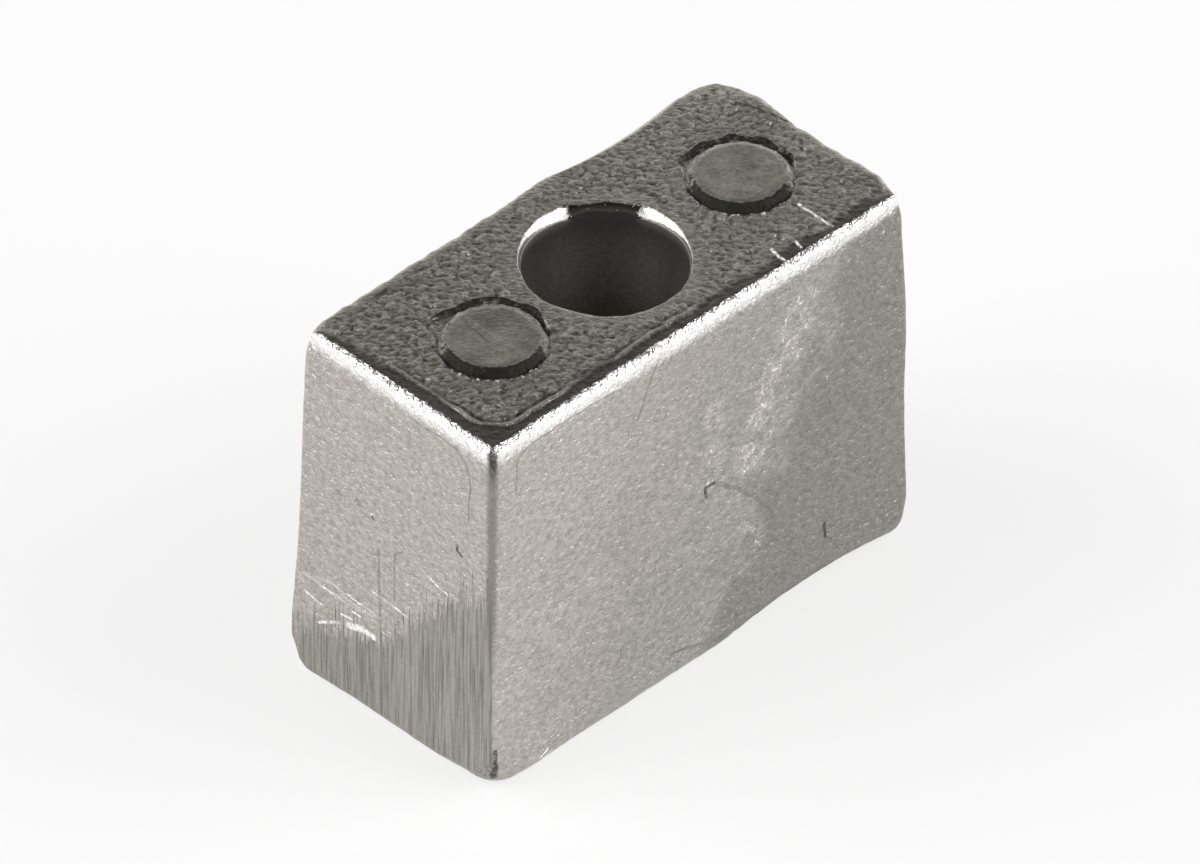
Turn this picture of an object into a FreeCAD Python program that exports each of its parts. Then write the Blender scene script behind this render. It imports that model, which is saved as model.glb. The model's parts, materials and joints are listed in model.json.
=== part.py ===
"""Sacrificial anode: one zinc casting, a drafted block with a sunk bolt hole.

Millimetres. The origin is the centre of the flat mounting face at the foot.
X runs along the block, Y across it and Z up to the as-cast face. The gate
end, where the casting's gate was ground away, is the -X end.
"""

import FreeCAD, Part
import math
import os

from FreeCAD import Vector

# Block, measured at the mounting face as if its edges were sharp
base_length = 50.8
base_width = 24.3
block_height = 37.9
draft_angle = 1.08

# Rounding of the foot, of the top and of the four upright edges
foot_edge_radius = 2.0
top_edge_radius = 0.9
gate_front_radius = 0.8
far_front_radius = 1.2
far_back_radius = 2.4
gate_back_radius = 1.2

# Bolt hole: a bore from the top that sinks the bolt head onto a seat
head_bore_diameter = 14.4
head_bore_edge_radius = 0.6
bolt_hole_diameter = 7.0
bolt_hole_chamfer = 0.3
seat_thickness = 10.0

# Raised round pads that two ejector pins left, each in its own ring groove
pad_diameter = 9.3
pad_rise = 0.6
pad_edge_bevel = 0.45
pad_groove_width = 0.7
pad_groove_depth = 0.35
gate_pad_land_to_bore = 1.15
gate_pad_offset = -0.95
far_pad_land_to_end = 3.44
far_pad_offset = -0.2

# Fine ridge left on the top face by the joint round the mould's insert
ridge_inset = 1.7
ridge_width = 0.45
ridge_rise = 0.15
ridge_flank = 0.15
ridge_corner_radius = 3.0

# Flat ground across the foot of the gate end, deepest at its front corner
ground_depth = 0.25
ground_rise_front = 22.5
ground_rise_back = 5.2

# Shallow dips worn into two long edges
foot_dip_chord = 18.7
foot_dip_depth = 0.6
foot_dip_from_far_end = 12.3
top_dip_chord = 14.3
top_dip_depth = 0.47
top_dip_from_far_end = 11.9

# How far a cutting tool reaches past the surface that it cuts
tool_reach = 2.0

# Slack in finding an edge by its size and place
find_slack = 0.0001

X_AXIS = Vector(1, 0, 0)
Z_AXIS = Vector(0, 0, 1)
CORNER_RADII = {
    (-1, -1): gate_front_radius,
    (1, -1): far_front_radius,
    (1, 1): far_back_radius,
    (-1, 1): gate_back_radius,
}
draft_slope = math.tan(math.radians(draft_angle))
draft_cosine = math.cos(math.radians(draft_angle))


def half_length(height):
    """Half the block's length at a height above the mounting face."""
    return base_length / 2 - height * draft_slope


def half_width(height):
    """Half the block's width at a height above the mounting face."""
    return base_width / 2 - height * draft_slope


def drafted_block():
    """The block with sharp edges, its four sides leaning in by the draft."""
    foot_x = half_length(0)
    foot_y = half_width(0)
    top_x = half_length(block_height)
    top_y = half_width(block_height)
    block = Part.makeWedge(
        -foot_x, 0, -foot_y, -top_y, -top_x, foot_x, block_height, foot_y, top_y, top_x
    )
    block.rotate(Vector(0, 0, 0), X_AXIS, 90)
    return block


def edge_radius(edge):
    """The rounding of one edge of the sharp block."""
    box = edge.BoundBox
    if box.ZMax < block_height / 2:
        return foot_edge_radius
    if box.ZMin > block_height / 2:
        return top_edge_radius
    side_x = 1 if box.Center.x > 0 else -1
    side_y = 1 if box.Center.y > 0 else -1
    return CORNER_RADII[(side_x, side_y)]


def rounded_block():
    """The drafted block with each edge rounded by its own radius."""
    document = FreeCAD.newDocument("block")
    sharp = document.addObject("Part::Feature", "sharp")
    sharp.Shape = drafted_block()
    rounded = document.addObject("Part::Fillet", "rounded")
    rounded.Base = sharp
    radii = [edge_radius(edge) for edge in sharp.Shape.Edges]
    rounded.Edges = [(index + 1, radius, radius) for index, radius in enumerate(radii)]
    document.recompute()
    return rounded.Shape.copy()


def ground_cutter():
    """A slab whose lower face is the plane ground across the gate end."""
    front = Vector(-half_length(ground_rise_front), -half_width(ground_rise_front), ground_rise_front)
    back = Vector(-half_length(ground_rise_back), half_width(ground_rise_back), ground_rise_back)
    foot = Vector(-half_length(0) + ground_depth, -half_width(0), 0)
    outward = (back - foot).cross(front - foot)
    if outward.x > 0:
        outward = outward * -1
    size = base_width + block_height
    slab = Part.makeBox(2 * size, 2 * size, tool_reach, Vector(-size, -size, 0))
    slab.Placement = FreeCAD.Placement(foot, FreeCAD.Rotation(Z_AXIS, outward))
    return slab


def dip_cutter(centre, rounding, outward, chord, depth):
    """A drum that wears a shallow arc into a rounded long edge.

    centre is on the axis of the edge's rounding, where the dip is deepest,
    and outward is the direction in which the edge stands out most.
    """
    drum_radius = chord ** 2 / (8 * depth) + depth / 2
    drum_length = 4 * rounding + 2 * tool_reach
    crest = centre + outward * rounding
    axis = X_AXIS.cross(outward)
    start = crest + outward * (drum_radius - depth) - axis * (drum_length / 2)
    return Part.makeCylinder(drum_radius, drum_length, start, axis)


def foot_dip_cutter():
    """The dip in the front edge of the foot."""
    height = foot_edge_radius
    inset = foot_edge_radius / draft_cosine
    centre = Vector(half_length(0) - foot_dip_from_far_end, inset - half_width(height), height)
    outward = Vector(0, -1, -1).normalize()
    return dip_cutter(centre, foot_edge_radius, outward, foot_dip_chord, foot_dip_depth)


def top_dip_cutter():
    """The dip in the back edge of the top."""
    height = block_height - top_edge_radius
    inset = top_edge_radius / draft_cosine
    at_x = half_length(block_height) - top_dip_from_far_end
    centre = Vector(at_x, half_width(height) - inset, height)
    outward = Vector(0, 1, 1).normalize()
    return dip_cutter(centre, top_edge_radius, outward, top_dip_chord, top_dip_depth)


def rounded_plate(inset, thickness):
    """A plate with round corners, its outline inset from the block's top."""
    reach_x = half_length(block_height) - inset
    reach_y = half_width(block_height) - inset
    corner = Vector(-reach_x, -reach_y, 0)
    plate = Part.makeBox(2 * reach_x, 2 * reach_y, thickness, corner)
    uprights = [edge for edge in plate.Edges if edge.BoundBox.ZLength > thickness / 2]
    return plate.makeFillet(ridge_corner_radius + ridge_inset - inset, uprights)


def insert_ridge():
    """The low ridge on the top face, a ring with sloping flanks."""
    ring = rounded_plate(ridge_inset, tool_reach)
    ring = ring.cut(rounded_plate(ridge_inset + ridge_width, tool_reach))
    crests = [edge for edge in ring.Edges if edge.BoundBox.ZMin > tool_reach - find_slack]
    ring = ring.makeChamfer(ridge_flank, crests)
    ring.translate(Vector(0, 0, block_height + ridge_rise - tool_reach))
    return ring


def pad_places():
    """The centres of the two ejector pads on the top face."""
    groove_radius = pad_diameter / 2 + pad_groove_width
    mouth_radius = head_bore_diameter / 2 + head_bore_edge_radius
    gate_x = -(mouth_radius + gate_pad_land_to_bore + groove_radius)
    far_x = half_length(block_height) - far_pad_land_to_end - groove_radius
    return [
        Vector(gate_x, gate_pad_offset, block_height),
        Vector(far_x, far_pad_offset, block_height),
    ]


def add_pads(body):
    """Cuts each pad's ring groove into the top and sets the pad in it."""
    pad_radius = pad_diameter / 2
    groove_height = pad_groove_depth + tool_reach
    groove = Part.makeCylinder(pad_radius + pad_groove_width, groove_height)
    groove.translate(Vector(0, 0, -pad_groove_depth))
    pad_height = pad_rise + groove_height
    pad = Part.makeCylinder(pad_radius, pad_height)
    rim = [edge for edge in pad.Edges if edge.BoundBox.ZMin > pad_height - find_slack]
    pad = pad.makeChamfer(pad_edge_bevel, rim)
    pad.translate(Vector(0, 0, -groove_height))
    for place in pad_places():
        body = body.cut(groove.translated(place))
        body = body.fuse(pad.translated(place))
    return body


def round_edges_at(body, radius, height):
    """The circular edges of a radius about the block's middle, at a height."""
    centre = Vector(0, 0, height)
    circles = [edge for edge in body.Edges if isinstance(edge.Curve, Part.Circle)]
    sized = [edge for edge in circles if abs(edge.Curve.Radius - radius) < find_slack]
    return [edge for edge in sized if edge.Curve.Center.distanceToPoint(centre) < find_slack]


def add_bolt_hole(body):
    """Bores the hole for the bolt's head and shank and eases its two mouths."""
    head_radius = head_bore_diameter / 2
    bolt_radius = bolt_hole_diameter / 2
    head_depth = block_height - seat_thickness
    head = Part.makeCylinder(head_radius, head_depth + tool_reach, Vector(0, 0, seat_thickness))
    bolt = Part.makeCylinder(bolt_radius, seat_thickness + tool_reach)
    body = body.cut(head.fuse(bolt))
    body = body.makeFillet(head_bore_edge_radius, round_edges_at(body, head_radius, block_height))
    return body.makeChamfer(bolt_hole_chamfer, round_edges_at(body, bolt_radius, 0))


def anode_block():
    """The whole casting as one solid."""
    body = rounded_block()
    for cutter in (ground_cutter(), foot_dip_cutter(), top_dip_cutter()):
        body = body.cut(cutter)
    body = body.fuse(insert_ridge())
    body = add_pads(body)
    body = add_bolt_hole(body)
    return body.removeSplitter().Solids[0]


os.makedirs("parts", exist_ok=True)
casting = anode_block()
casting.exportStep("parts/anode_block.step")
print("anode_block valid", casting.isValid(), "faces", len(casting.Faces))
print("volume in mm3", round(casting.Volume, 1))
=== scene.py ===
"""Dresses the cast zinc anode and sets it on a pale floor in soft studio light.

The casting is one closed mesh that stands for the CAD block. Its shape is
worked out in millimetres, in the frame of the CAD: X along the block, away
from the ground gate end, Y across it and Z up to the as-cast face.
"""

import json
import logging
import math
from dataclasses import dataclass
from enum import Enum

import bpy
import numpy as np
from mathutils import Matrix, Vector
from mathutils.geometry import delaunay_2d_cdt


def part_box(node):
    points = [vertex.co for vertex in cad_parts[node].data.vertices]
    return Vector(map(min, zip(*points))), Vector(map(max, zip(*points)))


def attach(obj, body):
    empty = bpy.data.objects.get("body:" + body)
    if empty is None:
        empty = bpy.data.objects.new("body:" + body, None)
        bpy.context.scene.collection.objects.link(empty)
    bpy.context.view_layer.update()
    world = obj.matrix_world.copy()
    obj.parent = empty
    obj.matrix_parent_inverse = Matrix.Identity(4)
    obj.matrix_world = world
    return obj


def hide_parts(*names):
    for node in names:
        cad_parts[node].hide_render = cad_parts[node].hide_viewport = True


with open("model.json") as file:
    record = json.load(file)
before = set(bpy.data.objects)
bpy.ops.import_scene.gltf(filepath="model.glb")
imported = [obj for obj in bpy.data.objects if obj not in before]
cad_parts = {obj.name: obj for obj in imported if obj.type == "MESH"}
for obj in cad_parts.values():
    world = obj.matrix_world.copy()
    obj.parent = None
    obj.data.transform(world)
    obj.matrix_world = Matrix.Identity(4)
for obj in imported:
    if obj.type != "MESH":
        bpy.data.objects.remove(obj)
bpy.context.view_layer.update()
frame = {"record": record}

MM = 0.001
CASTING_NODE = "anode_block"
BODY = "root"

# Painted distances of points that are nowhere near the top's edge or the ground flat
ABOVE_TOP = -9.0
FAR_BELOW_TOP = 60.0
OFF_GROUND = -9.0

# How near two points of a flat face count as one, in millimetres
SAME_PLACE = 1e-7

# Radius of the round corners that the points of a flat face keep to
CORNER_CLEARANCE = 2.4

# How much the way across a face counts when the way to a mark is measured
ACROSS_FACE = 0.15

log = logging.getLogger("anode")


def mount(name: str) -> dict:
    """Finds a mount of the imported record.

    Args:
        name: The mount's name.

    Returns:
        The mount as the record gives it.
    """
    return next(found for found in frame["record"]["mounts"] if found["name"] == name)


def smooth_step(values: np.ndarray, low: float, high: float) -> np.ndarray:
    """Eases values from 0 at low to 1 at high.

    Args:
        values: What to ease.
        low: Where the result is 0.
        high: Where the result is 1.

    Returns:
        The eased values.
    """
    share = np.clip((values - low) / (high - low), 0.0, 1.0)
    return share * share * (3.0 - 2.0 * share)


def hump(distance: np.ndarray, width: float) -> np.ndarray:
    """A smooth hump that is 1 at no distance and fades over a width."""
    return np.exp(-((distance / width) ** 2))


def turn_between(first: np.ndarray, second: float) -> np.ndarray:
    """The smallest turn in degrees between angles and one angle."""
    return np.abs((first - second + 180.0) % 360.0 - 180.0)


def inside_loop(points: np.ndarray, loop: np.ndarray) -> np.ndarray:
    """Tells which points lie inside a loop that goes once round the middle.

    Args:
        points: The points, seen from above.
        loop: The loop's points, counter-clockwise and seen from above.

    Returns:
        True for each point inside.
    """
    turns = np.arctan2(loop[:, 1], loop[:, 0]) % (2 * math.pi)
    order = np.argsort(turns)
    turn = np.arctan2(points[:, 1], points[:, 0]) % (2 * math.pi)
    after = np.searchsorted(turns[order], turn) % len(loop)
    first = loop[order[after - 1]]
    second = loop[order[after]]
    edge = second - first
    away = points - first
    return edge[:, 0] * away[:, 1] - edge[:, 1] * away[:, 0] > 0


def quads(table: np.ndarray) -> np.ndarray:
    """The four corners of each cell of a table.

    Args:
        table: Values by row and column, one or more in each place.

    Returns:
        The values at the corners of each cell, one row a cell.
    """
    high, wide = table.shape[:2]
    corners = [(0, 0), (1, 0), (1, 1), (0, 1)]
    parts = [table[down:high - 1 + down, right:wide - 1 + right] for down, right in corners]
    return np.stack(parts, axis=2).reshape((high - 1) * (wide - 1), len(corners), *table.shape[2:])


def closed_rows(rings: list[np.ndarray]) -> np.ndarray:
    """Makes the rows of a table of rings that face inward.

    Args:
        rings: The point numbers of each ring.

    Returns:
        One row a ring, backwards, with its first point at both ends.
    """
    return np.array([np.append(ring, ring[0]) for ring in rings])[:, ::-1]


def in_rounded_box(points: np.ndarray, half: np.ndarray, clearance: float) -> np.ndarray:
    """Tells which points lie well inside a box with round corners.

    Args:
        points: The points, seen from above.
        half: Half the box's length and width.
        clearance: How far inside its corners they have to lie.

    Returns:
        True for each point inside.
    """
    beyond = np.maximum(np.abs(points) - half + CORNER_CLEARANCE, 0)
    return np.linalg.norm(beyond, axis=1) < CORNER_CLEARANCE - clearance


def direction(turn: float, rise: float) -> Vector:
    """The way to a place that is seen at a turn and a rise in radians."""
    return Vector((math.sin(turn) * math.cos(rise), -math.cos(turn) * math.cos(rise), math.sin(rise)))


def add_object(name: str, data: bpy.types.ID) -> bpy.types.Object:
    """Makes an object and links it to the scene.

    Args:
        name: The object's name.
        data: Its mesh, lamp or camera.

    Returns:
        The object.
    """
    made = bpy.data.objects.new(name, data)
    bpy.context.scene.collection.objects.link(made)
    return made


class Fill(Enum):
    """How far the triangles of a flat face reach."""

    HULL = 0
    OUTER_LOOP = 1


def fill_face(
    loops: list[np.ndarray], inner: np.ndarray, hole: np.ndarray, fill: Fill
) -> tuple[np.ndarray, np.ndarray]:
    """Fills a flat face round a hole with triangles that keep to its loops.

    Args:
        loops: The points of each closed loop, seen from above.
        inner: The points between the loops.
        hole: The loop that stays open.
        fill: How far the triangles reach.

    Returns:
        All points, those of the loops first, and the triangles.
    """
    points = np.concatenate([*loops, inner])
    edges = []
    first = 0
    for loop in loops:
        numbers = np.arange(first, first + len(loop))
        edges += np.stack([numbers, np.roll(numbers, -1)], axis=1).tolist()
        first += len(loop)
    places = [Vector(point) for point in points.tolist()]
    found = delaunay_2d_cdt(places, edges, [], fill.value, SAME_PLACE)
    placed = np.array([tuple(point) for point in found[0]])
    if len(placed) != len(points):
        raise ValueError("a flat face's points were changed")
    triangles = np.array([face for face in found[2] if len(face) == 3])
    return placed, triangles[~inside_loop(placed[triangles].mean(axis=1), hole)]


class Grain:
    """Seeded gradient noise that is sampled at many points at once."""

    TABLE = 256
    GAIN = 1.6
    LAYER_SHIFT = 17.3

    def __init__(self, seed: int) -> None:
        """Draws the noise's table of gradients.

        Args:
            seed: The number that fixes the noise.
        """
        draw = np.random.default_rng(seed)
        self.order = np.tile(draw.permutation(self.TABLE), 2)
        spread = draw.normal(size=(self.TABLE, 3))
        self.slopes = spread / np.linalg.norm(spread, axis=1, keepdims=True)

    def at(self, points: np.ndarray, wavelength: float) -> np.ndarray:
        """Samples one layer of noise.

        Args:
            points: The places, one row each, in millimetres.
            wavelength: The noise's scale in millimetres.

        Returns:
            One value a place, mostly from -1 to 1.
        """
        places = points / wavelength
        cells = np.floor(places).astype(int)
        inside = places - cells
        ease = inside**3 * (inside * (inside * 6 - 15) + 10)
        total = np.zeros(len(points))
        for corner in np.ndindex(2, 2, 2):
            offset = np.array(corner)
            x, y, z = ((cells + offset) % self.TABLE).T
            slope = self.slopes[self.order[self.order[self.order[x] + y] + z]]
            reach = (slope * (inside - offset)).sum(axis=1)
            total += reach * np.where(offset, ease, 1 - ease).prod(axis=1)
        return self.GAIN * total

    def layered(self, points: np.ndarray, wavelength: float, layers: int) -> np.ndarray:
        """Adds finer and weaker layers of noise.

        Args:
            points: The places, one row each, in millimetres.
            wavelength: The coarsest layer's scale in millimetres.
            layers: How many layers, each half as coarse and half as strong.

        Returns:
            One value a place, mostly from -1 to 1.
        """
        total = np.zeros(len(points))
        for layer in range(layers):
            shifted = points + self.LAYER_SHIFT * layer
            total += self.at(shifted, wavelength / 2**layer) / 2**layer
        return total


@dataclass(frozen=True)
class Corner:
    """One upright corner of the block: its place and its rounding."""

    side_x: int
    side_y: int
    radius: float
    foot_radius: float


@dataclass
class BlockForm:
    """The drafted block, in millimetres: its sizes at each height."""

    foot_radius: float = 2.0
    top_radius: float = 0.9
    draft_angle: float = 1.08
    pad_rise: float = 0.6
    corners: tuple[Corner, ...] = (
        Corner(-1, -1, 0.8, 3.0),
        Corner(1, -1, 0.8, 1.8),
        Corner(1, 1, 2.4, 2.8),
        Corner(-1, 1, 0.8, 2.2),
    )
    worn_foot_heights: tuple[float, float] = (4.5, 1.0)

    def __post_init__(self) -> None:
        """Works the block's sizes out from the CAD block's box."""
        _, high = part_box(CASTING_NODE)
        self.slope = math.tan(math.radians(self.draft_angle))
        self.lean = math.radians(self.draft_angle)
        self.height = high[2] / MM - self.pad_rise
        self.foot_half_length = high[0] / MM + self.foot_radius * self.slope
        self.foot_half_width = high[1] / MM + self.foot_radius * self.slope

    def half_length(self, height: float) -> float:
        """Half the length at a height."""
        return self.foot_half_length - height * self.slope

    def half_width(self, height: float) -> float:
        """Half the width at a height."""
        return self.foot_half_width - height * self.slope


@dataclass
class Outline:
    """The columns of points round the block, counter-clockwise from its first corner."""

    form: BlockForm
    run_step: float = 0.22
    arc_step: float = 0.2
    least_arc_steps: int = 6
    least_radius: float = 0.25

    def __post_init__(self) -> None:
        """Lists every column by its corners, its share between them and its angle."""
        columns = []
        for index, corner in enumerate(self.form.corners):
            start = 180.0 + 90.0 * index
            steps = max(self.least_arc_steps, round(corner.radius * math.pi / 2 / self.arc_step))
            columns += [(index, 0.0, start + 90.0 * step / steps) for step in range(steps)]
            length = self.form.half_width(0) if index % 2 else self.form.half_length(0)
            runs = round(2 * length / self.run_step)
            columns += [(index, step / runs, start + 90.0) for step in range(runs)]
        table = np.array(columns)
        self.corner = table[:, 0].astype(int)
        self.share = table[:, 1]
        self.count = len(table)
        angle = np.radians(table[:, 2])
        self.outward = np.stack([np.cos(angle), np.sin(angle)], axis=1)

    def at(self, half_x: float, half_y: float, inset: float, height: float) -> np.ndarray:
        """The outline at one height.

        Args:
            half_x: Half the length there.
            half_y: Half the width there.
            inset: How far the outline lies inside the wall.
            height: The height, because the corners are rounder near the foot.

        Returns:
            One point a column, seen from above.
        """
        centres = []
        radii = []
        near_foot = float(smooth_step(np.array(height), *self.form.worn_foot_heights))
        for corner in self.form.corners:
            radius = corner.radius + (corner.foot_radius - corner.radius) * near_foot
            radius = max(radius - inset, self.least_radius)
            radii.append(radius)
            centres.append((corner.side_x * (half_x - radius), corner.side_y * (half_y - radius)))
        centres = np.array(centres)
        radii = np.array(radii)[:, None]
        following = (self.corner + 1) % len(radii)
        here = centres[self.corner] + radii[self.corner] * self.outward
        there = centres[following] + radii[following] * self.outward
        share = self.share[:, None]
        return here * (1 - share) + there * share


@dataclass(frozen=True)
class Patch:
    """The lower left corner of a sheet of the texture map, in millimetres of surface."""

    corner_x: float
    corner_y: float


class Sheet(Enum):
    """Where each part of the surface lies on the texture map."""

    FRONT = Patch(1.5, 1.5)
    BACK = Patch(56.0, 1.5)
    FAR = Patch(1.5, 43.5)
    GATE = Patch(29.0, 43.5)
    TOP = Patch(57.0, 43.5)
    FOOT = Patch(49.0, 89.0)
    BORE = Patch(1.5, 86.0)
    SEAT = Patch(57.0, 69.5)
    BOLT = Patch(75.0, 69.5)


class MeshStore:
    """Collects points, faces, map places and painted values of one mesh."""

    MAP_SIDE = 117.0
    MAP_NAME = "OFBake"

    def __init__(self) -> None:
        """Starts with nothing."""
        self.points = np.zeros((0, 3))
        self.paint: dict[str, np.ndarray] = {}
        self.faces: list[list[int]] = []
        self.places: list[np.ndarray] = []

    def add_points(self, points: np.ndarray, **paint: np.ndarray | float) -> np.ndarray:
        """Adds points.

        Args:
            points: One row each, in millimetres.
            paint: Values to keep with each point, by name.

        Returns:
            The points' numbers.
        """
        first = len(self.points)
        self.points = np.concatenate([self.points, points])
        total = len(self.points)
        for name in sorted(set(self.paint) | set(paint)):
            kept = self.paint.get(name, np.zeros(first))
            added = np.broadcast_to(paint.get(name, np.zeros(total - first)), (total - first,))
            self.paint[name] = np.concatenate([kept, added])
        return np.arange(first, total)

    def add_faces(self, faces: np.ndarray, places: np.ndarray, sheet: Sheet) -> None:
        """Adds faces of one size.

        Args:
            faces: Point numbers, one row a face.
            places: The map place of each face's corners, in millimetres.
            sheet: The map sheet that they lie on.
        """
        corner = np.array([sheet.value.corner_x, sheet.value.corner_y])
        self.faces += faces.tolist()
        self.places.append(((places + corner) / self.MAP_SIDE).reshape(-1, 2))

    def add_grid(self, rows: np.ndarray, across: np.ndarray, up: np.ndarray, sheet: Sheet) -> None:
        """Adds a grid of quads between rows of points.

        Args:
            rows: Point numbers, one row of the grid each, from the top down.
            across: The map place of each column.
            up: The map place of each row.
            sheet: The map sheet that the grid lies on.
        """
        places = np.stack(np.meshgrid(across, up), axis=2)
        self.add_faces(quads(rows), quads(places), sheet)

    def finish(self, name: str) -> bpy.types.Object:
        """Makes the Blender object, in metres.

        Args:
            name: The object's name.

        Returns:
            The object, linked to the scene.
        """
        mesh = bpy.data.meshes.new(name)
        mesh.from_pydata((self.points * MM).tolist(), [], self.faces)
        layer = mesh.uv_layers.new(name=self.MAP_NAME)
        layer.uv.foreach_set("vector", np.concatenate(self.places).astype(np.float32).ravel())
        for paint_name, values in self.paint.items():
            made = mesh.attributes.new(paint_name, "FLOAT", "POINT")
            made.data.foreach_set("value", values.astype(np.float32))
        mesh.shade_smooth()
        mesh.validate()
        return add_object(name, mesh)


@dataclass(frozen=True)
class Swell:
    """A soft rise or hollow of the surface about one place, in millimetres."""

    place: tuple[float, float, float]
    width: tuple[float, float, float]
    height: float

    def at(self, points: np.ndarray) -> np.ndarray:
        """How far it lifts each point."""
        spread = ((points - np.array(self.place)) / np.array(self.width)) ** 2
        return self.height * np.exp(-spread.sum(axis=1))


@dataclass
class Relief:
    """How the cast surface departs from the drafted block, in millimetres."""

    form: BlockForm
    wave_height: float = 0.07
    wave_length: float = 11.0
    peel_height: float = 0.035
    peel_length: float = 1.9
    swells: tuple[Swell, ...] = (
        Swell((-25.4, 12.1, 3.5), (6.0, 5.0, 5.5), 0.32),
        Swell((-25.4, 12.1, 12.0), (4.0, 4.0, 6.0), 0.15),
        Swell((25.4, -12.1, 2.5), (4.0, 4.0, 6.0), 0.15),
        Swell((25.0, -12.0, 24.0), (4.0, 4.0, 5.0), 0.22),
        Swell((24.7, -11.5, 37.0), (3.0, 3.0, 5.5), -0.16),
        Swell((24.7, 6.0, 37.4), (3.0, 2.6, 3.0), 0.35),
        Swell((24.7, 1.6, 37.0), (3.0, 1.0, 3.0), -0.1),
        Swell((24.7, -7.0, 37.4), (3.0, 3.0, 3.0), 0.3),
        Swell((23.8, 10.4, 37.6), (2.6, 2.6, 3.0), -0.3),
        Swell((24.6, -11.4, 37.9), (1.7, 1.7, 1.7), -0.42),
        Swell((6.0, 11.4, 37.4), (9.0, 3.0, 3.0), 0.2),
        Swell((-24.4, 11.1, 37.6), (1.6, 1.6, 1.8), -0.4),
        Swell((-25.2, 2.0, 13.0), (2.0, 3.5, 3.5), -0.05),
        Swell((-6.0, -12.1, 0.6), (17.0, 3.0, 2.4), 0.16),
        Swell((-19.5, -12.1, 0.6), (2.6, 2.4, 2.4), 0.2),
        Swell((-25.4, -9.6, 0.4), (2.4, 3.0, 2.2), -0.34),
        Swell((8.6, 11.4, 37.4), (2.4, 3.0, 3.0), 0.14),
        Swell((-5.3, -11.4, 37.7), (0.7, 0.6, 0.5), 0.22),
        Swell((-10.0, -3.35, 37.9), (0.55, 0.5, 3.0), -0.25),
    )
    foot_dip_chord: float = 18.7
    foot_dip_depth: float = 0.6
    foot_dip_from_end: float = 12.3
    top_dip_chord: float = 14.3
    top_dip_depth: float = 0.47
    top_dip_from_end: float = 11.9
    ground_depth: float = 0.25
    ground_rise_front: float = 22.5
    ground_rise_back: float = 5.2
    edge_reach: float = 6.0

    def __post_init__(self) -> None:
        """Seeds the noises of the relief."""
        self.waves = Grain(11)
        self.peel = Grain(23)

    def lift(self, points: np.ndarray) -> np.ndarray:
        """Adds up the waves, the orange peel and the swells.

        Args:
            points: The surface's points.

        Returns:
            How far the surface stands out at each point.
        """
        total = self.wave_height * self.waves.layered(points, self.wave_length, 2)
        total += self.peel_height * self.peel.layered(points, self.peel_length, 2)
        for swell in self.swells:
            total += swell.at(points)
        return total

    def press_drum(
        self, points: np.ndarray, crest: np.ndarray, outward: np.ndarray, chord: float, depth: float
    ) -> np.ndarray:
        """Presses a drum across a long edge.

        Args:
            points: The surface's points.
            crest: The middle of the edge, where the dip is deepest.
            outward: The direction in which the edge stands out most.
            chord: How long the dip is.
            depth: How deep it is.

        Returns:
            The points, those inside the drum moved onto it.
        """
        radius = chord**2 / (8 * depth) + depth / 2
        away = points - crest
        reach = away @ outward
        along = np.clip(np.abs(away[:, 0]), 0, radius)
        limit = radius - depth - np.sqrt(radius**2 - along**2)
        excess = np.where(np.abs(away[:, 0]) < chord, np.maximum(reach - limit, 0), 0)
        beside = np.linalg.norm(away[:, 1:] - np.outer(reach, outward[1:]), axis=1)
        near = beside < self.edge_reach
        return points - np.outer(excess * near, outward)

    def wear(self, points: np.ndarray) -> np.ndarray:
        """Wears the two dips into their edges.

        Args:
            points: The surface's points.

        Returns:
            The worn points.
        """
        form = self.form
        front = np.array([0, -1, -1]) / math.sqrt(2)
        centre = np.array([
            form.half_length(0) - self.foot_dip_from_end,
            form.foot_radius - form.half_width(form.foot_radius),
            form.foot_radius,
        ])
        crest = centre + front * form.foot_radius
        points = self.press_drum(points, crest, front, self.foot_dip_chord, self.foot_dip_depth)
        back = np.array([0, 1, 1]) / math.sqrt(2)
        height = form.height - form.top_radius
        centre = np.array([
            form.half_length(form.height) - self.top_dip_from_end,
            form.half_width(height) - form.top_radius,
            height,
        ])
        crest = centre + back * form.top_radius
        return self.press_drum(points, crest, back, self.top_dip_chord, self.top_dip_depth)

    def grind(self, points: np.ndarray) -> np.ndarray:
        """Grinds the gate end flat across its foot.

        Args:
            points: The surface's points.

        Returns:
            The points, those beyond the ground plane moved onto it.
        """
        form = self.form
        front_z, back_z = self.ground_rise_front, self.ground_rise_back
        front = np.array([-form.half_length(front_z), -form.half_width(front_z), front_z])
        back = np.array([-form.half_length(back_z), form.half_width(back_z), back_z])
        foot = np.array([-form.half_length(0) + self.ground_depth, -form.half_width(0), 0])
        outward = np.cross(back - foot, front - foot)
        outward /= np.linalg.norm(outward) * -np.sign(outward[0])
        excess = np.maximum((points - foot) @ outward, 0)
        return points - np.outer(excess, outward)


@dataclass(frozen=True)
class Pad:
    """A round pad that an ejector pin left, in its own ring groove.

    groove_edge gives the groove's outer radius at some angles in degrees.
    """

    x: float
    y: float
    radius: float
    groove_edge: tuple[tuple[float, float], ...]

    def edge_at(self, degrees: np.ndarray) -> np.ndarray:
        """The groove's outer radius at each angle."""
        angles, radii = np.array(self.groove_edge).T
        return np.interp(degrees, angles, radii, period=360.0)


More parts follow.
